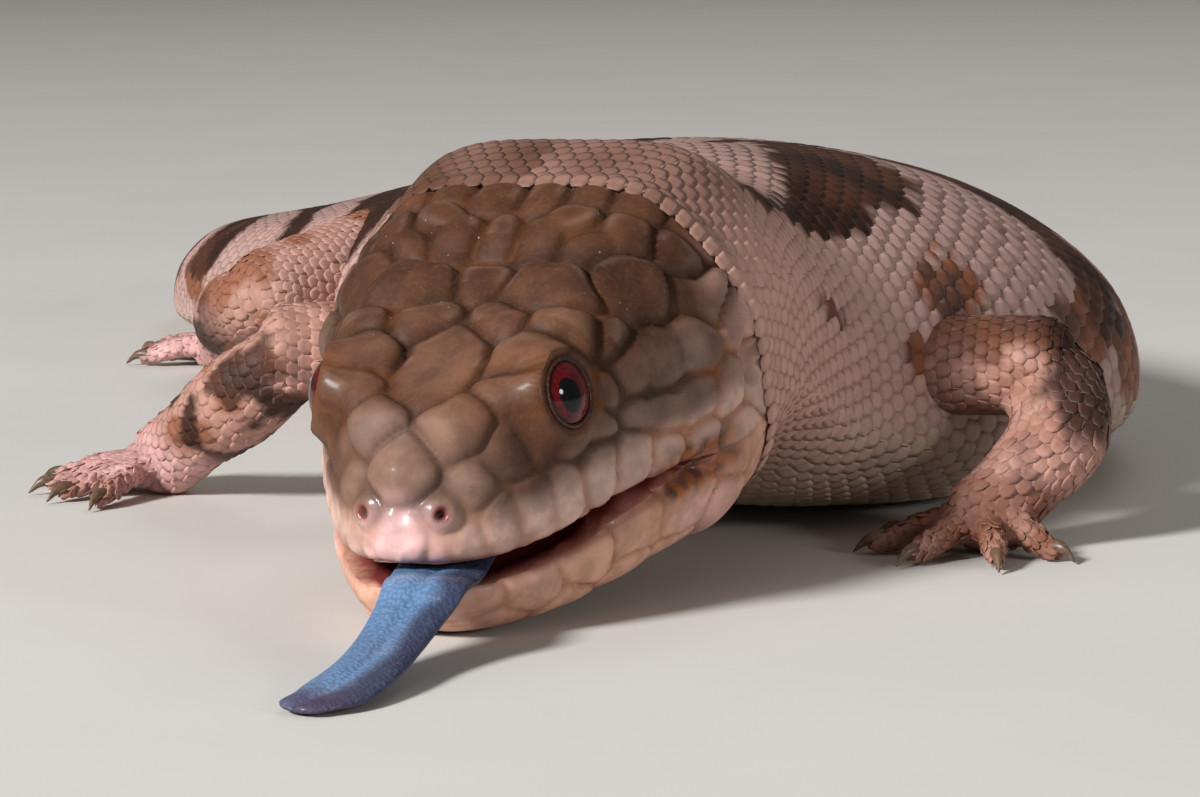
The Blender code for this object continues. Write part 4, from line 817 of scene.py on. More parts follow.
def skin_rings():
    """Points, colours and wetness of every ring of the skin, from the lip to the tail's tip."""
    end = float(np.interp(HEAD_RINGS_END, CHART_S, CHART_ALONG))
    alongs = np.linspace(0.0, end, round(end / HEAD_STEP) + 1)
    head = [Ring(float(s), HEAD_COUNTS) for s in np.interp(alongs, CHART_ALONG, CHART_S)]
    stack = np.array([r.points for r in head])
    normals = np.array([grid_normals(stack[i], stack[max(i - 1, 0)], stack[min(i + 1, len(head) - 1)])
                        for i in range(len(head))]).reshape(-1, 3)
    skin, count = stack.reshape(-1, 3), stack.shape[1]
    half = len(head[0].k) // 2 + 1
    lips = np.array([np.interp((3.0, 4.0), r.k[:half], np.abs(r.over[:half])) for r in head])
    lip_up, lip_low = np.repeat(lips, count, axis=0).T
    along, station = np.repeat(alongs, count), np.repeat([r.s for r in head], count)
    over, k = np.concatenate([r.over for r in head]), np.concatenate([r.k for r in head])
    points, colour, wet = head_forms(skin, normals, along, over, k, lip_up, lip_low, station)
    side = np.where(over >= 0, 1.0, -1.0)
    blend = smooth((along - 59.5) / 2.5)
    colour = mixed(colour, four(body_marks(skin, station, k, side)), blend)
    points = points - normals * (SKIN_SINK * blend)[:, None]
    rings = [tuple(rows[i:i + count] for rows in (points, colour, wet)) for i in range(0, len(points), count)]
    steps, s = [], HEAD_RINGS_END
    while s < TAIL_END:
        s += float(np.interp(s, *RING_STEPS))
        steps.append(min(s, TAIL_END))
    counts = tuple(c // 2 for c in HEAD_COUNTS)
    body = [Ring(s, counts) for s in (HEAD_RINGS_END, *steps)]
    for last, r, ahead in zip(body, body[1:], body[2:] + body[-1:]):
        n = grid_normals(r.points, last.points, ahead.points)
        side = np.where(r.over >= 0, 1.0, -1.0)
        tone = body_marks(r.points, np.full(len(r.k), r.s), r.k, side)
        sink = SKIN_SINK * float(smooth((TAIL_END - 1 - r.s) / 20))
        sink += NECK_SINK * float(smooth((r.s - 66) / 10) * smooth((145 - r.s) / 15))
        rings.append((r.points - n * sink, four(tone), np.zeros(len(r.k))))
    return rings


def skin_mesh():
    """The skin of head, trunk and tail as one closed mesh, with its colours and wetness."""
    rings = skin_rings()
    starts = np.concatenate(([0], np.cumsum([len(r[0]) for r in rings])))
    faces = []
    for n in range(len(rings) - 1):
        a, b, count, other = starts[n], starts[n + 1], len(rings[n][0]), len(rings[n + 1][0])
        if count == other:
            for i in range(count):
                j = (i + 1) % count
                faces.append((a + i, a + j, b + j, b + i))
        else:
            for i in range(other):
                j, m = (i + 1) % other, 2 * i
                faces.append((a + m, a + m + 1, b + i))
                faces.append((a + m + 1, a + (m + 2) % count, b + j, b + i))
    faces.append(tuple(range(starts[1] - 1, -1, -1)))
    faces.append(tuple(range(starts[-2], starts[-1])))
    points = np.vstack([r[0] for r in rings])
    points[:, 2] = above_floor(points[:, 2])
    return points, faces, np.vstack([r[1] for r in rings]), np.concatenate([r[2] for r in rings])


def placed(name, data):
    """New object of that data in the scene."""
    obj = bpy.data.objects.new(name, data)
    bpy.context.scene.collection.objects.link(obj)
    return obj


def worked_out(obj):
    """The object's mesh with its modifiers."""
    bpy.context.view_layer.update()
    return bpy.data.meshes.new_from_object(obj.evaluated_get(bpy.context.evaluated_depsgraph_get()))


def keep(mesh, label, kind, values):
    """Store a number, vector or colour for each point of the mesh."""
    owner = mesh.color_attributes if kind == "FLOAT_COLOR" else mesh.attributes
    field = {"FLOAT": "value", "FLOAT_VECTOR": "vector", "FLOAT_COLOR": "color"}[kind]
    owner.new(label, kind, "POINT").data.foreach_set(field, np.asarray(values, np.float32).ravel())


def kept_rows(mesh, label):
    """Rows of three numbers read back from the points of the mesh."""
    values = np.zeros(len(mesh.vertices) * 3, np.float32)
    mesh.attributes[label].data.foreach_get("vector", values)
    return values.reshape(-1, 3).astype(float)


def face_outwards(mesh):
    """Turn the faces of a closed mesh outwards and shade it smooth."""
    bm = bmesh.new()
    bm.from_mesh(mesh)
    bmesh.ops.recalc_face_normals(bm, faces=bm.faces)
    if bm.calc_volume(signed=True) < 0:
        bmesh.ops.reverse_faces(bm, faces=bm.faces)
    bm.to_mesh(mesh)
    bm.free()
    mesh.shade_smooth()


def ring_faces(rings, count, loop=False):
    """Faces of a tube of rings with count points each: run into a loop, or with both ends shut."""
    faces = [(m * count + i, m * count + (i + 1) % count,
              (m + 1) % rings * count + (i + 1) % count, (m + 1) % rings * count + i)
             for m in range(rings if loop else rings - 1) for i in range(count)]
    ends = [tuple(range(count - 1, -1, -1)), tuple(range((rings - 1) * count, rings * count))]
    return faces if loop else faces + ends


def new_piece(name, points, faces, colours=None, wet=None, material=None):
    """Object from millimetre points, with the colours and wetness of its vertices."""
    mesh = bpy.data.meshes.new(name)
    moved = (np.asarray(points) + SHIFT) * MM
    mesh.from_pydata(moved.tolist(), [], [tuple(int(i) for i in f) for f in faces])
    if colours is not None:
        keep(mesh, "Marks", "FLOAT_COLOR", four(colours))
    if wet is not None:
        keep(mesh, "wet", "FLOAT", wet)
    face_outwards(mesh)
    if material is not None:
        mesh.materials.append(material)
    return placed(name, mesh)


def merged(shells):
    """Points and faces of several shells, each starting with its points and faces."""
    points, faces, start = [], [], 0
    for p, f, *_ in shells:
        points.append(p)
        faces += [tuple(i + start for i in face) for face in f]
        start += len(p)
    return np.vstack(points), faces


def joined(name, shells, material):
    """One object out of several shells given as points, faces, colours and wetness."""
    colours = np.vstack([shell[2][:, :3] for shell in shells])
    return new_piece(name, *merged(shells), colours, np.concatenate([shell[3] for shell in shells]), material)


def cut(obj, cutter):
    """Take the cutter's space out of a closed object and delete the cutter."""
    mod = obj.modifiers.new("cut", "BOOLEAN")
    mod.operation = "DIFFERENCE"
    mod.solver = "MANIFOLD"
    mod.object = cutter
    mesh = worked_out(obj)
    if len(mesh.polygons) < 100:
        raise RuntimeError("the mouth could not be cut")
    obj.modifiers.remove(mod)
    obj.data = mesh
    bpy.data.objects.remove(cutter)


def mouth_shapes(material):
    """Closed shapes of the gap between the lips and of the hollow behind them."""
    upper = [(-s, up) for s, up, low in MOUTH_LINE]
    lower = [(-s, low) for s, up, low in reversed(MOUTH_LINE)]
    outline = [(CUT_AHEAD, upper[0][1]), *upper, *lower, (CUT_AHEAD, lower[-1][1])]
    gap = [from_head(x, y, z) for y in np.linspace(-CUT_HALF, CUT_HALF, CUT_SLICES) for x, z in outline]
    hollow = []
    for s in np.linspace(*HOLLOW_ENDS, HOLLOW_RINGS):
        up, low = pchip([r[0] for r in MOUTH_LINE], [r[1:] for r in MOUTH_LINE], s)
        end = math.sqrt(max(1 - ((s - HOLLOW_MIDDLE) / HOLLOW_HALF) ** 2, 0.02))
        half = section(s, [3.0])[0][0] - HOLLOW_INSET
        for a in np.arange(HOLLOW_AROUND) * 2 * math.pi / HOLLOW_AROUND:
            z = (up + low) / 2 + HOLLOW_HIGH * end * math.sin(a)
            hollow.append(from_head(-s, half * end * math.cos(a), z))
    return [new_piece(name, np.array(points), ring_faces(rings, count), np.tile(MOUTH_RED, (len(points), 1)),
                      np.ones(len(points)), material)
            for name, points, rings, count in (("lip_gap", gap, CUT_SLICES, len(outline)),
                                               ("mouth_hollow", hollow, HOLLOW_RINGS, HOLLOW_AROUND))]


def curve(points, ts):
    """Catmull-Rom curve through rows of numbers at places ts counted in points."""
    p = np.asarray(points, float)
    p = np.vstack((2 * p[0] - p[1], p, 2 * p[-1] - p[-2]))
    ts = np.clip(np.asarray(ts, float), 0, len(points) - 1)
    i = np.clip(ts.astype(int), 0, len(points) - 2)
    t = (ts - i)[:, None]
    a, b, c, d = p[i], p[i + 1], p[i + 2], p[i + 3]
    square, cube = 2 * a - 5 * b + 4 * c - d, 3 * b - a - 3 * c + d
    return 0.5 * (2 * b + (c - a) * t + square * t ** 2 + cube * t ** 3)


def tube(points, ts, around, side_hint, grow=0.0):
    """Rings of an oval tube along the curve; each row holds x, y, z, half width, half height."""
    rows, ahead, behind = (curve(points, np.asarray(ts) + step) for step in (0.0, 0.02, -0.02))
    rings = []
    for n in range(len(rows)):
        tangent = unit(ahead[n, :3] - behind[n, :3])
        side = np.asarray(side_hint, float)
        side = unit(side - tangent * (side @ tangent))
        up = np.cross(tangent, side)
        angles = np.arange(around) * 2 * math.pi / around
        rings.append(rows[n, :3] + np.outer(np.cos(angles), side) * (rows[n, 3] + grow)
                     + np.outer(np.sin(angles), up) * (rows[n, 4] + grow))
    return np.array(rings)


def rounded(rings, at_end, radius):
    """Rings that close a tube with a round end."""
    last, before = (rings[-1], rings[-2]) if at_end else (rings[0], rings[1])
    centre = last.mean(axis=0)
    ahead = unit(centre - before.mean(axis=0))
    caps = [centre + (last - centre) * math.cos(a) + ahead * radius * math.sin(a)
            for a in np.radians(ROUND_END)]
    return np.array(caps if at_end else caps[::-1])


def tube_mesh(rings):
    """Points and faces of a closed tube through rings."""
    points = rings.reshape(-1, 3).copy()
    points[:, 2] = above_floor(points[:, 2])
    return points, ring_faces(*rings.shape[:2])


def digit_rows(base, heading, length):
    """Middle line of one digit and of its claw, with half widths and half heights."""
    a = math.radians(heading)
    ahead = np.array((math.cos(a), math.sin(a), 0.0))
    root = np.array((base[0], base[1], 3.1)) + ahead * 1.5
    reach, r = length - 1.5, DIGIT_RADIUS
    rows = [tuple(root + ahead * reach * part + np.array((0, 0, lift))) + (r * wide, r * high)
            for part, lift, wide, high in DIGIT_ROWS]
    tip = root + ahead * reach + np.array((0, 0, -1.5))
    claw = [tuple(tip + ahead * past + np.array((0, 0, lift))) + (wide, high)
            for past, lift, wide, high in CLAW_ROWS]
    return rows, claw, np.array((-ahead[1], ahead[0], 0.0))


def limb_shells(name, grow):
    """Tubes of one limb: upper and lower length, palm and digits, with the places of their scales."""
    upper, lower = LIMBS[name]
    shells = []
    flare = LIMB_FLARE[name[:3]]
    wider = (*upper[0][:3], upper[0][3] * flare, upper[0][4] * flare)
    for rows, part in (((wider, *upper[1:]), "upper"), (lower, "lower")):
        rings = tube(rows, np.linspace(0, 3, 16), LIMB_AROUND, LIMB_SIDE_HINT, grow)
        rings = np.vstack((rounded(rings, False, rows[0][3]), rings, rounded(rings, True, rows[-1][3] * 0.7)))
        shells.append((rings, part))
    base, digits = DIGITS[name]
    for heading, length in digits:
        rows, claw, side = digit_rows(base, heading, length)
        ts = np.linspace(0, 3, 15)
        rings = tube(rows, ts, DIGIT_AROUND, side, grow * 0.5)
        swell = 1 + JOINT_SWELL * np.cos(np.arange(len(ts)) * math.pi)[:, None, None]
        middle = rings.mean(axis=1, keepdims=True)
        rings = middle + (rings - middle) * swell
        rings = np.vstack((rounded(rings, False, 1.6), rings, rounded(rings, True, 1.2)))
        shells.append((rings, "end"))
    return shells


def limb_skin(name):
    """One limb's shells melted into one closed skin: points, faces, colours and wetness."""
    shells = [tube_mesh(rings) for rings, part in limb_shells(name, -SKIN_SINK * 0.6)]
    obj = new_piece(name + "_raw", *merged(shells))
    mod = obj.modifiers.new("melt", "REMESH")
    mod.mode = "VOXEL"
    mod.voxel_size = LIMB_VOXEL * MM
    soft = obj.modifiers.new("soften", "SMOOTH")
    soft.iterations = 3
    soft.factor = 0.5
    mesh = worked_out(obj)
    bpy.data.objects.remove(obj)
    p = kept_rows(mesh, "position") / MM - SHIFT
    p[:, 2] = above_floor(p[:, 2])
    return p, [tuple(poly.vertices) for poly in mesh.polygons], limb_tone(name, p), np.zeros(len(p))


def limb_tone(name, p):
    """Colours of a limb's points by how far down the limb they are."""
    base = np.array((*DIGITS[name][0], 3.0))
    root = np.array(LIMBS[name][0][0][:3])
    reach = np.clip(1 - np.linalg.norm(p - base, axis=1) / np.linalg.norm(root - base), 0, 1)
    colour = limb_marks(p, reach)
    if name == "arm_left":
        ragged = lattice_noise(p, 3.0, 42) - 0.5
        back = smooth((p[:, 2] - 20.8 + 7 * ragged) / 4) * smooth((reach - 0.10 + 0.3 * ragged) / 0.25)
        outer = smooth((p[:, 0] - 77 + 5 * ragged) / 4)
        brown = mixed(BAND_BROWN, BAND_ORANGE, 0.30 * smooth((lattice_noise(p, 4.0, 43) - 0.4) / 0.3))
        colour = mixed(mixed(LIMB_PINK, colour, 0.45), brown, 0.9 * back)
        colour = mixed(colour, BAND_BLACK, 0.85 * outer * smooth((p[:, 2] - 11 + 6 * ragged) / 4))
    hand = smooth((12.5 - np.linalg.norm((p - base) * (0.7, 0.7, 1.6), axis=1)) / 6)
    a, b, part = (HAND_BROWN, LIMB_PINK, 0.75) if "left" in name else (SNOUT_PINK, HAND_BROWN, 0.6)
    tone = mixed(a, b, part * lattice_noise(p, 3.0, 41))
    return mixed(colour, tone, hand)


def lid_shell(side):
    """Thin dark wet rim of the eyelids round one eye."""
    axis, across, up = eye_frame(1)
    points, tones = [], []
    for i in range(LID_AROUND):
        a = 2 * math.pi * i / LID_AROUND
        direction = math.cos(a) * across + math.sin(a) * up
        centre = EYE_CENTRE + axis * (float(lid_height(LID_OPEN)) - 0.10) + direction * LID_OPEN
        thick = LID_RIM * (1 + 0.10 * math.sin(a * 9 + 1) + 0.08 * math.sin(a * 23))
        for b in 2 * math.pi * np.arange(LID_RING) / LID_RING:
            p = centre + thick * (math.cos(b) * direction + math.sin(b) * axis)
            points.append(from_head(p[0], side * p[1], p[2]))
            tones.append(mixed(EYE_ORANGE, LID_DARK, 0.5 + 0.5 * smooth((0.8 - math.cos(b)) / 0.9)))
    points = np.array(points)
    tones = mixed(np.array(tones), EYE_ORANGE, 0.2 * lattice_noise(points, 1.6, 51))
    return points, ring_faces(LID_AROUND, LID_RING, loop=True), tones, np.full(len(points), 0.7)


def line_mouth(mesh, points, colours, wet, faces, lining):
    """Give the faces inside the mouth their lining, red deep down and pink beside the lips."""
    if len(mesh.materials) < 2:
        mesh.materials.append(lining)
    index = [m.name for m in mesh.materials].index(lining.name)
    whole = BVHTree.FromPolygons([tuple(p) for p in points], faces)
    marks, gloss = mesh.color_attributes["Marks"], mesh.attributes["wet"]
    places = {}
    for v in mesh.vertices:
        place = np.array(v.co) / MM - SHIFT
        ahead, _, height = to_head(place)
        if -MOUTH_CORNER - 4 < ahead < 8 and height < -1.5:
            hit, _, face, apart = whole.find_nearest(Vector(place))
            places[v.index] = place
            if apart < 0.08:
                nearest = min(faces[face], key=lambda i: ((points[i] - place) ** 2).sum())
                marks.data[v.index].color = tuple(colours[nearest])
                gloss.data[v.index].value = wet[nearest]
            else:
                marks.data[v.index].color = (*mixed(LIP_RED, MOUTH_RED, smooth(apart / 2.5)), 0.0)
                gloss.data[v.index].value = 1.0
    for poly in mesh.polygons:
        inside = 0
        if all(i in places for i in poly.vertices):
            middle = sum(places[i] for i in poly.vertices) / len(poly.vertices)
            inside = index if whole.find_nearest(Vector(middle))[3] > 0.05 else 0
        poly.material_index = inside


def build_skin(skin_material, lining):
    """The skin as one piece of several shells: head with trunk and tail, each limb, the rim of each eye."""
    points, faces, colours, wet = skin_mesh()
    body = new_piece("skin", points, faces, colours, wet, skin_material)
    for cutter in mouth_shapes(lining):
        cut(body, cutter)
    line_mouth(body.data, points, colours, wet, faces, lining)
    shells = [limb_skin(name) for name in LIMBS] + [lid_shell(1), lid_shell(-1)]
    extra = joined("limb_skin", shells, skin_material)
    bpy.ops.object.select_all(action="DESELECT")
    extra.select_set(True)
    body.select_set(True)
    bpy.context.view_layer.objects.active = body
    bpy.ops.object.join()
    body.data.shade_smooth()
    return body


def build_eyes(material):
    """Both eyeballs, with the distance from the eye's axis kept on their points."""
    eyes = []
    for side, word in ((1, "left"), (-1, "right")):
        axis, across, up = eye_frame(side)
        points, off, tones = [], [], []
        for a in math.pi * (np.arange(EYE_RINGS) + 0.5) / EYE_RINGS:
            front = a < math.pi / 2
            height = EYE_OUT + (EYE_FLAT * EYEBALL if front else EYEBALL + EYE_OUT) * math.cos(a)
            tone = mixed(WHITE, EYE_RIM, float(smooth((math.sin(a) - 0.66) / 0.22)))
            for b in 2 * math.pi * np.arange(EYE_AROUND) / EYE_AROUND:
                sideways = EYEBALL * math.sin(a) * (math.cos(b) * across + math.sin(b) * up)
                points.append(from_head(*(EYE_CENTRE * (1, side, 1) + height * axis + sideways)))
                ahead, rise = sideways @ across * math.copysign(1, across[0]), sideways @ up
                away = math.hypot((ahead - GAZE_FORWARD) * PUPIL_NARROW, rise * PUPIL_TALL) / EYEBALL
                off.append(away if front else 1.5)
                tones.append(tone)
        eyes.append(new_piece("eye_ball_" + word, np.array(points), ring_faces(EYE_RINGS, EYE_AROUND),
                              np.array(tones), off, material))
    return eyes


def build_tongue(material):
    """Broad tongue with a shallow groove, soft cross folds, painted shade on the side away from the key light
    and on its underside, and paler clouds on its upper face that are partly painted light.
    """
    rows = [tuple(from_head(*r[:3])) + r[3:] for r in TONGUE_IN_HEAD] + list(TONGUE_OUT)
    ts = np.linspace(0, len(rows) - 1, TONGUE_RINGS)
    rings = tube(rows, ts, TONGUE_AROUND, (1.0, -0.25, 0.0), -TONGUE_FOLD)
    rings = np.vstack((rings, rounded(rings, True, 2.0)))
    count = rings.shape[1]
    angle = np.arange(count) * 2 * math.pi / count
    across, upper = np.cos(angle), np.maximum(np.sin(angle), 0.0)
    tones, wet = [], []
    for n, ring_points in enumerate(rings):
        centre = ring_points.mean(axis=0)
        out = unit(ring_points - centre)
        fold = lattice_noise(ring_points * (0.6, 1.3, 1.0), 2.6, 61) - 0.5
        dip = -TONGUE_GROOVE * bell(across, TONGUE_GROOVE_WIDE) * upper + TONGUE_FOLD * fold * upper
        rings[n] = ring_points + out * dip[:, None]
        place = n / len(rings)
        cloud = lattice_noise(ring_points, 5.0, 62)
        tones.append(layered(
            TONGUE_BLUE,
            # the tongue's own paler tone, laid only on its upper face, so partly a painted highlight from
            # above
            (TONGUE_PALE, 0.5 * smooth((cloud - 0.35) / 0.5) * upper),
            # painted shade: the side of the tongue away from the key light turned navy
            (TONGUE_NAVY, smooth((across - 0.05 + 0.5 * (cloud - 0.5)) / 0.6) * 0.9),
            # the tip darker in its own purple tone; the underside a little darker, painted shade
            (TONGUE_TIP, smooth((place - 0.78) / 0.18) * 0.80 + 0.25 * (upper <= 0.0))))
        wet.append(0.5 + 0.5 * cloud)
    points, faces = tube_mesh(rings)
    return new_piece("tongue_skin", points, faces, np.vstack(tones), np.concatenate(wet), material)


def build_claws(material):
    """Twenty short curved claws."""
    shells = []
    for name in LIMBS:
        base, digits = DIGITS[name]
        for heading, length in digits:
            rows, claw, side = digit_rows(base, heading, length)
            rings = tube(claw, np.linspace(0, 3, 12), DIGIT_AROUND, side)
            points, faces = tube_mesh(np.vstack((rounded(rings, False, 0.6), rings)))
            tone = mixed(CLAW_BROWN, CLAW_DARK, lattice_noise(points, 2.0, 71))
            shells.append((points, faces, tone, np.zeros(len(points))))
    return joined("claws", shells, material)


def body_roots():
    """Root of every scale of the neck, trunk and tail: point, out, back, width, length, colour, place."""
    rows, s, shifted = [], float(np.interp(COAT_START, CHART_ALONG, CHART_S)), False
    while s < TAIL_END - 3:
        count = [n for start, n in ROWS_ROUND if s >= start][-1]
        fine, arc = arc_down(s)
        width = 2 * arc[-1] / count
        over = ((np.arange(count) + 0.5 * shifted) / count - 0.5 + 1e-6) * 2 * arc[-1]
        side = np.where(over >= 0, 1.0, -1.0)
        ks = np.interp(np.abs(over), arc, fine)
        here = surface(s, ks, side)
        back = unit(surface(s + 0.6, ks, side) - surface(s - 0.6, ks, side))
        step = 0.03
        around = surface(s, np.clip(ks + step, 0, 6), side) - surface(s, np.clip(ks - step, 0, 6), side)
        out = unit(np.cross(around * side[:, None], back))
        outward = ((here - spine(s)[0]) * out).sum(axis=1)
        out = out * np.sign(outward)[:, None]
        spacing = width * BODY_PITCH
        sink = SKIN_SINK * float(smooth((TAIL_END - 1 - s) / 20))
        behind = 1.0
        if s < HEAD_RINGS_END:
            behind = float(smooth((np.interp(s, CHART_S, CHART_ALONG) - COAT_START) / 2.6))
        here = here - out * (sink * behind - FIRST_LIFT * (1 - behind))
        shown = here[:, 2] > 0.35
        place = np.stack((0.5 + over / 280.0, np.full(count, s / 490.0)), 1)
        spot = np.stack((np.full(count, s), ks, side), 1)
        rows.append(tuple(v[shown] for v in (here, out, back, np.full(count, width * BODY_WIDE),
                                             np.full(count, spacing * BODY_LONG), spot, place)))
        s += spacing
        shifted = not shifted
    return [np.concatenate(column) for column in zip(*rows)]


def limb_roots(name, tree):
    """Root of every scale of one limb, set on its melted skin."""
    columns = []
    for number, (rings, part) in enumerate(limb_shells(name, 0.0)):
        size = DIGIT_SCALE if part == "end" else LIMB_SCALE
        spacing = size * LIMB_PITCH
        middle = rings.mean(axis=1)
        reach = run_lengths(middle)
        for row, along in enumerate(np.arange(size * 0.5, reach[-1] - 0.6, spacing)):
            at = np.interp(along, reach, np.arange(len(rings)))
            i = min(int(at), len(rings) - 2)
            ring = rings[i] + (rings[i + 1] - rings[i]) * (at - i)
            back = unit(middle[i + 1] - middle[i])
            loop = np.vstack((ring, ring[:1]))
            arc = run_lengths(loop)
            count = max(5, round(arc[-1] / size))
            for n in range(count):
                a = (n + 0.5 * (row % 2)) / count * arc[-1]
                p = np.array([np.interp(a, arc, loop[:, c]) for c in range(3)])
                hit, out, _, apart = tree.find_nearest(Vector(p))
                if hit is None or apart > 1.3 or hit.z < 0.5 or out.z < -0.85:
                    continue
                out = np.array(out)
                columns.append((np.array(hit), out, unit(back - out * (back @ out)),
                                arc[-1] / count * LIMB_WIDE, spacing * LIMB_LONG, np.zeros(3),
                                np.array((n / count, (number * 60 + along) / 480))))
    return [np.array(c) for c in zip(*columns)]


def scale_shape():
    """One scale: rounded behind, domed, its front edge sunk. Local x across, y back, z out, all about 1."""
    rows = ((0.00, 0.26, -0.125), (0.34, 0.50, 0.020), (0.74, 0.44, 0.070), (1.00, 0.20, 0.060))
    columns = ((-1.0, -0.045), (-0.42, 0.0), (0.42, 0.0), (1.0, -0.045))
    top = [(u * half, v - 0.30, lift + dip) for v, half, lift in rows for u, dip in columns]
    rim = [0, 1, 2, 3, 7, 11, 15, 14, 13, 12, 8, 4]
    low = [(top[i][0] * 0.96, top[i][1], top[i][2] - 0.06) for i in rim]
    verts = top + low
    faces = [(4 * j + i, 4 * j + i + 1, 4 * j + i + 5, 4 * j + i + 4) for j in range(3) for i in range(3)]
    faces += [(rim[n], 16 + n, 16 + (n + 1) % 12, rim[(n + 1) % 12]) for n in range(12)]
    faces.append(tuple(range(16, 28)))
    mesh = bpy.data.meshes.new("scale_shape")
    mesh.from_pydata(verts, [], faces)
    keep(mesh, "place", "FLOAT_VECTOR", [(v[0] * 2, (v[1] + 0.30) * 2 - 1, 0.0) for v in verts])
    face_outwards(mesh)
    return placed("scale_shape", mesh)


class Tree:
    """A node tree filled by plain calls."""

    def __init__(self, tree):
        self.tree = tree

    def node(self, kind, settings=None, values=None):
        """A node of that type, its settings made first, then the values or links of its sockets."""
        made = self.tree.nodes.new(kind)
        for name, value in (settings or {}).items():
            setattr(made, name, value)
        for name, value in (values or {}).items():
            socket = made.inputs[name]
            if isinstance(value, Value):
                value = value.socket
            if isinstance(value, bpy.types.NodeSocket):
                self.tree.links.new(value, socket)
            elif isinstance(value, tuple):
                socket.default_value = (*value[:3], 1.0)
            else:
                socket.default_value = value
        return made


class Value:
    """A socket that can stand in a Python expression on numbers."""

    def __init__(self, tree, socket):
        self.tree, self.socket = tree, socket

    def math(self, operation, *others):
        """A Math node on this value and others."""
        made = self.tree.node("ShaderNodeMath", {"operation": operation}, dict(enumerate((self, *others))))
        return Value(self.tree, made.outputs[0])

    def __add__(self, other):
        return self.math("ADD", other)

    def __sub__(self, other):
        return self.math("SUBTRACT", other)

    def __mul__(self, other):
        return self.math("MULTIPLY", other)

    def __rsub__(self, other):
        return self * -1.0 + other

    __radd__, __rmul__ = __add__, __mul__

    def clamped(self, low, high):
        """This value run from 0 at low to 1 at high, smoothly."""
        made = self.tree.node("ShaderNodeMapRange", {"interpolation_type": "SMOOTHSTEP"},
                              {"Value": self, "From Min": low, "From Max": high})
        return Value(self.tree, made.outputs["Result"])


def coat_tree(material):
    """Geometry nodes that set one scale on every root and turn it by the root's own directions."""
    group = bpy.data.node_groups.new("scale coat", "GeometryNodeTree")
    for label, kind in (("Geometry", "Geometry"), ("Scale shape", "Object"), ("Thickness", "Float"),
                        ("Unevenness", "Float"), ("Seed", "Int"), ("Patch", "Float")):
        group.interface.new_socket(label, in_out="INPUT", socket_type="NodeSocket" + kind)
    group.interface.new_socket("Geometry", in_out="OUTPUT", socket_type="NodeSocketGeometry")
    t = Tree(group)
    given = t.node("NodeGroupInput").outputs

    def named(name, kind="FLOAT_VECTOR"):
        found = t.node("GeometryNodeInputNamedAttribute", {"data_type": kind}, {"Name": name})
        return Value(t, found.outputs["Attribute"])

    turn = t.node("FunctionNodeAxesToRotation", {"primary_axis": "Z", "secondary_axis": "Y"},
                  {"Primary Axis": named("out"), "Secondary Axis": named("back")})
    uneven = t.node("FunctionNodeRandomValue", {"data_type": "FLOAT"}, {"Seed": given["Seed"]})
    spread = Value(t, uneven.outputs[1]) * Value(t, given["Unevenness"]) + 1.0
    length = named("length", "FLOAT")
    size = t.node("ShaderNodeCombineXYZ", None, {"X": named("width", "FLOAT") * spread, "Y": length,
                                                 "Z": length * Value(t, given["Thickness"])})
    shape = t.node("GeometryNodeObjectInfo", {"transform_space": "ORIGINAL"},
                   {"Object": given["Scale shape"]})
    number = t.node("GeometryNodeInputIndex").outputs[0]
    tint = t.node("FunctionNodeRandomValue", {"data_type": "FLOAT"}, {"Seed": given["Seed"], "ID": number})
    marked = t.node("GeometryNodeStoreNamedAttribute", {"data_type": "FLOAT", "domain": "POINT"},
                    {"Geometry": given["Geometry"], "Name": "tint", "Value": tint.outputs[1]})
    dots = t.node("GeometryNodeInstanceOnPoints", None,
                  {"Points": marked.outputs[0], "Instance": shape.outputs["Geometry"],
                   "Rotation": turn.outputs[0], "Scale": size.outputs[0]})
    real = t.node("GeometryNodeRealizeInstances", None, {"Geometry": dots.outputs[0]})
    patch = t.node("ShaderNodeVectorMath", {"operation": "SCALE"},
                   {0: named("place"), "Scale": given["Patch"]})
    spot = t.node("ShaderNodeVectorMath", {"operation": "ADD"}, {0: named("root_place"), 1: patch.outputs[0]})
    unwrap = t.node("GeometryNodeStoreNamedAttribute", {"data_type": "FLOAT2", "domain": "CORNER"},
                    {"Geometry": real.outputs[0], "Name": "OFBake", "Value": spot.outputs[0]})
    dressed = t.node("GeometryNodeSetMaterial", None, {"Geometry": unwrap.outputs[0], "Material": material})
    t.node("NodeGroupOutput", None, {"Geometry": dressed.outputs[0]})
    return group


def build_coat(name, roots, group, shape, seed, thickness=0.55):
    """One plain mesh of scales standing on the given roots."""
    here, out, back, width, length, spot, place = roots
    mesh = bpy.data.meshes.new(name)
    mesh.from_pydata(((here + SHIFT) * MM).tolist(), [], [])
    for label, values in (("out", out), ("back", back), ("width", width * MM), ("length", length * MM),
                          ("spot", spot), ("root_place", np.column_stack((place, np.zeros(len(place)))))):
        keep(mesh, label, "FLOAT" if values.ndim == 1 else "FLOAT_VECTOR", values)
    obj = placed(name, mesh)
    mod = obj.modifiers.new("scales", "NODES")
    mod.node_group = group
    wanted = {"Scale shape": shape, "Thickness": thickness, "Unevenness": COAT_UNEVEN, "Seed": seed,
              "Patch": SCALE_PATCH}
    for item in group.interface.items_tree:
        if item.item_type == "SOCKET" and item.in_out == "INPUT" and item.name in wanted:
            mod[item.identifier] = wanted[item.name]
    made = worked_out(obj)
    obj.modifiers.remove(mod)
    obj.data = made
    bpy.data.meshes.remove(mesh)
    paint_coat(made, name.removeprefix("coat_"))
    return obj


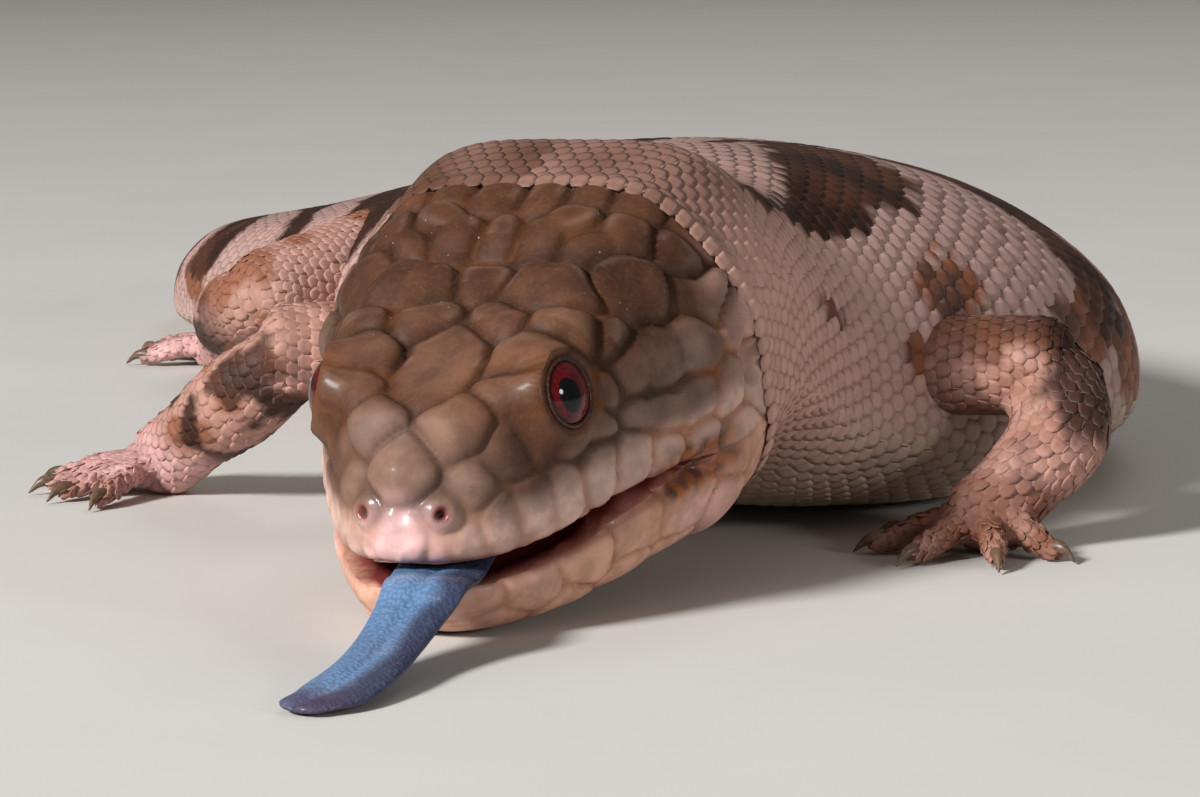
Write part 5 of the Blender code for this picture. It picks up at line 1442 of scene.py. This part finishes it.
def paint_coat(mesh, part):
    """Colours of a coat's points: the same marks as the skin's under them."""
    points, spot, place = (kept_rows(mesh, label) for label in ("position", "spot", "place"))
    points = points / MM - SHIFT
    if part in LIMBS:
        tone = limb_tone(part, points)
    else:
        tone = body_marks(points, spot[:, 0] + place[:, 1] * 2.0, spot[:, 1], spot[:, 2])
    keep(mesh, "Marks", "FLOAT_COLOR", four(tone))
    points[:, 2] = above_floor(points[:, 2])
    mesh.vertices.foreach_set("co", ((points + SHIFT) * MM).astype(np.float32).ravel())


class Finish(Tree):
    """One material's nodes, with the few calls that the finishes here share."""

    def __init__(self, name, **fixed):
        self.material = bpy.data.materials.new(name)
        self.material.use_nodes = True
        super().__init__(self.material.node_tree)
        self.shader = self.tree.nodes["Principled BSDF"]
        for label, value in fixed.items():
            self.shader.inputs[label.replace("_", " ")].default_value = value
        self.place = self.node("ShaderNodeTexCoord").outputs["Object"]

    def noise(self, size, detail=3.0, rough=0.55):
        """Noise from 0 to 1, its lumps about size millimetres across."""
        made = self.node("ShaderNodeTexNoise", None, {"Vector": self.place, "Scale": 1000.0 / size,
                                                      "Detail": detail, "Roughness": rough})
        return Value(self, made.outputs["Fac"])

    def spots(self, size):
        """Distance to the middles of scattered dots, in cells of size millimetres."""
        made = self.node("ShaderNodeTexVoronoi", {"feature": "F1"},
                         {"Vector": self.place, "Scale": 1000.0 / size})
        return Value(self, made.outputs["Distance"])

    def kept(self, name, output="Fac"):
        """An attribute of the piece."""
        return Value(self, self.node("ShaderNodeAttribute", {"attribute_name": name}).outputs[output])

    def mix(self, factor, a, b, blend="MIX"):
        """Colour a turned into b by the factor."""
        made = self.node("ShaderNodeMix", {"data_type": "RGBA", "blend_type": blend, "clamp_factor": True},
                         {0: factor, 6: a, 7: b})
        return Value(self, made.outputs[2])

    def bump(self, height, millimetres, strength=1.0):
        """Feed the shader's normal with a bump of that height."""
        made = self.node("ShaderNodeBump", None, {"Height": height, "Distance": millimetres * MM,
                                                  "Strength": strength})
        self.tree.links.new(made.outputs[0], self.shader.inputs["Normal"])

    def feed(self, **values):
        """Link varying values to the shader's sockets."""
        for label, value in values.items():
            self.tree.links.new(value.socket, self.shader.inputs[label.replace("_", " ")])
        return self.material


def skin_finish():
    """Satin skin: the marks of its points, fine mottling, pale dust flecks and a grain of tiny wrinkles."""
    f = Finish("skink skin", IOR=1.45, Specular_IOR_Level=0.20, Coat_Roughness=0.18)
    marks, wet = f.kept("Marks", "Color"), f.kept("wet")
    fine, coarse = f.noise(0.55, 4.0, 0.65), f.noise(3.2, 3.0)
    dark = f.mix(0.28, marks, BLACK)
    colour = f.mix(coarse.clamped(0.35, 0.65), dark, marks)
    pale = f.mix(0.022, colour, SKIN_PALE)
    colour = f.mix(fine.clamped(0.45, 0.75), colour, pale)
    fleck = f.spots(1.7).clamped(0.085, 0.03) * f.kept("Marks", "Alpha")
    colour = f.mix(fleck * 0.85, colour, DUST)
    rough = 0.46 + 0.20 * fine - 0.20 * wet
    f.bump(fine * 0.6 + f.noise(0.22, 2.0) * 0.4, 0.07, 0.7)
    return f.feed(Base_Color=colour, Roughness=rough, Coat_Weight=wet * 0.45)


def scale_finish():
    """Satin scales: the marks of the root, a painted highlight paling the free edge, painted shade darkening
    the root under the scale ahead, and fine streaks along.
    """
    f = Finish("skink scales", IOR=1.45, Specular_IOR_Level=0.20)
    marks, tint = f.kept("Marks", "Color"), f.kept("tint")
    apart = f.node("ShaderNodeSeparateXYZ", None, {"Vector": f.kept("place", "Vector")})
    across, along = (Value(f, apart.outputs[i]) for i in (0, 1))
    fine = f.noise(0.7, 4.0, 0.65)
    shade = f.mix(0.30 * tint, marks, SCALE_SHADE)
    colour = f.mix(fine.clamped(0.30, 0.72), shade, marks)
    # painted shade: the scale's front end darkened where it slips under the free edge of the scale in front
    root = along.clamped(0.0, -0.6) * 0.30
    colour = f.mix(root, colour, SCALE_ROOT)
    # painted highlight: the free rim of the scale turned paler
    edge = (across * across).clamped(0.62, 1.0) + along.clamped(0.80, 1.0)
    colour = f.mix(edge * 0.12, colour, SCALE_EDGE)
    f.bump(fine * 0.5 + f.noise(0.35, 2.0) * 0.5, 0.08, 0.7)
    return f.feed(Base_Color=colour, Roughness=0.42 + 0.20 * fine)


def lining_finish():
    """Wet crimson inside of the mouth."""
    f = Finish("mouth lining", Coat_Weight=0.4, Coat_Roughness=0.12, Specular_IOR_Level=0.3)
    fine = f.noise(1.6, 4.0)
    f.bump(fine, 0.25)
    marks = f.kept("Marks", "Color")
    colour = f.mix(fine.clamped(0.3, 0.7), marks, f.mix(0.5, marks, LINING_RED))
    return f.feed(Base_Color=colour, Roughness=0.28 + 0.2 * fine)


def tongue_finish():
    """Wet slate blue flesh with tiny bumps, painted shade between them and a painted pale sheen in clouds."""
    f = Finish("wet tongue", Coat_Weight=0.22, Coat_Roughness=0.10, Specular_IOR_Level=0.2)
    marks = f.kept("Marks", "Color")
    papilla, cloud = f.spots(0.52), f.noise(1.7, 4.0, 0.6)
    # painted shade in the gaps between the papillae
    colour = f.mix(papilla.clamped(0.25, 0.75) * 0.35, marks, TONGUE_HOLLOW)
    # painted sheen: paler blue clouds
    colour = f.mix(cloud.clamped(0.50, 0.80) * 0.15, colour, TONGUE_SHINE)
    f.bump((1.0 - papilla) * 0.8 + cloud * 0.5, 0.18, 0.9)
    return f.feed(Base_Color=colour, Roughness=0.44 + 0.16 * cloud)


def eye_finish():
    """Glossy eye: black pupil, deep red iris with fine rays, dark rim."""
    f = Finish("wet eye", Coat_Weight=0.5, Coat_Roughness=0.03, Specular_IOR_Level=0.1)
    off = f.kept("wet") + (f.noise(0.5, 3.0) - 0.5) * 0.05
    iris = f.mix(f.noise(0.45, 4.0, 0.7).clamped(0.3, 0.7), IRIS_DARK, IRIS_RED)
    colour = f.mix(off.clamped(PUPIL_EDGE, PUPIL_EDGE + 0.05), PUPIL_BLACK, iris)
    colour = f.mix(1.0, colour, f.kept("Marks", "Color"), "MULTIPLY")
    return f.feed(Base_Color=colour, Roughness=0.08 + 0.04 * f.noise(1.0))


def claw_finish():
    """Dark horn with paler flecks."""
    f = Finish("claw horn", Coat_Weight=0.2, Coat_Roughness=0.2, Specular_IOR_Level=0.35)
    fine = f.noise(0.5, 3.0)
    marks = f.kept("Marks", "Color")
    colour = f.mix(fine.clamped(0.3, 0.8) * 0.4, marks, CLAW_PALE)
    f.bump(fine, 0.05)
    return f.feed(Base_Color=colour, Roughness=0.30 + 0.2 * fine)


def floor_finish():
    """Plain pale floor."""
    f = Finish("pale floor", Roughness=0.65, Specular_IOR_Level=0.1)
    return f.feed(Base_Color=f.mix(f.noise(60.0, 3.0).clamped(0.3, 0.7), *FLOOR_TONES))


FLESH = ("head", "lower_jaw", "neck", "torso_front", "torso_middle", "torso_rear", "hips",
         "tail_base", "tail_middle", "tail_tip", "upper_arm_left", "forearm_left", "hand_left",
         "upper_arm_right", "forearm_right", "hand_right", "thigh_left", "shin_left", "foot_left",
         "thigh_right", "shin_right", "foot_right")


def dress():
    """Every piece of the animal, riding on the frame and standing for its nodes."""
    skin_material = skin_finish()
    skin = build_skin(skin_material, lining_finish())
    done = [(skin, "body_skin", FLESH)]
    for eye, node in zip(build_eyes(eye_finish()), ("eye_left", "eye_right")):
        done.append((eye, "eye", (node,)))
    done.append((build_tongue(tongue_finish()), "tongue", ("tongue",)))
    done.append((build_claws(claw_finish()), "limb_skin", ()))
    shape = scale_shape()
    group = coat_tree(scale_finish())
    roots = body_roots()
    for seed, (name, start, end) in enumerate(COAT_PARTS):
        chosen = (roots[5][:, 0] >= start) & (roots[5][:, 0] < end)
        thickness = float(np.interp(end, *COAT_THICKNESS))
        coat = build_coat(name, [column[chosen] for column in roots], group, shape, seed, thickness)
        done.append((coat, "tail_skin" if start >= 262 else "body_skin", ()))
    for seed, name in enumerate(LIMBS):
        points, faces, _, _ = limb_skin(name)
        tree = BVHTree.FromPolygons([tuple(p) for p in points], faces)
        coat = build_coat("coat_" + name, limb_roots(name, tree), group, shape, 20 + seed)
        done.append((coat, "limb_skin", ()))
    bpy.data.objects.remove(shape)
    for obj, slot, nodes in done:
        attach(obj, "root")
        if nodes:
            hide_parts(*nodes)


def set_stage():
    """Pale floor, soft lights and the camera."""
    corners = [(x * FLOOR_REACH, y * FLOOR_REACH, 0) for x, y in ((-1, -1), (1, -1), (1, 1), (-1, 1))]
    mesh = bpy.data.meshes.new("floor")
    mesh.from_pydata(corners, [], [(0, 1, 2, 3)])
    mesh.materials.append(floor_finish())
    floor = placed("floor", mesh)
    for name, place, aim, wide, watts in LIGHTS:
        light = bpy.data.lights.new(name, "AREA")
        light.shape = "DISK"
        light.size = wide
        light.energy = watts
        light.spread = math.radians(LIGHT_SPREAD)
        lamp = placed(name, light)
        lamp.location = place
        lamp.visible_glossy = name != "back"
        lamp.rotation_euler = (Vector(aim) - Vector(place)).to_track_quat("-Z", "Y").to_euler()
    world = bpy.data.worlds.new("soft room")
    bpy.context.scene.world = world
    bpy.context.scene.view_settings.view_transform = "Standard"
    world.use_nodes = True
    room = world.node_tree.nodes["Background"].inputs
    room["Color"].default_value = (*ROOM_LIGHT, 1.0)
    room["Strength"].default_value = ROOM_STRENGTH
    camera = bpy.data.cameras.new("camera")
    camera.lens = CAMERA_LENS
    camera.sensor_width = 36.0
    camera.clip_start, camera.clip_end = 0.01, 50.0
    eye = placed("camera", camera)
    eye.location = (CAMERA_PLACE + SHIFT) * MM
    eye.rotation_euler = (math.radians(90.0 - CAMERA_DOWN), 0.0, 0.0)
    bpy.context.scene.camera = eye


dress()
set_stage()
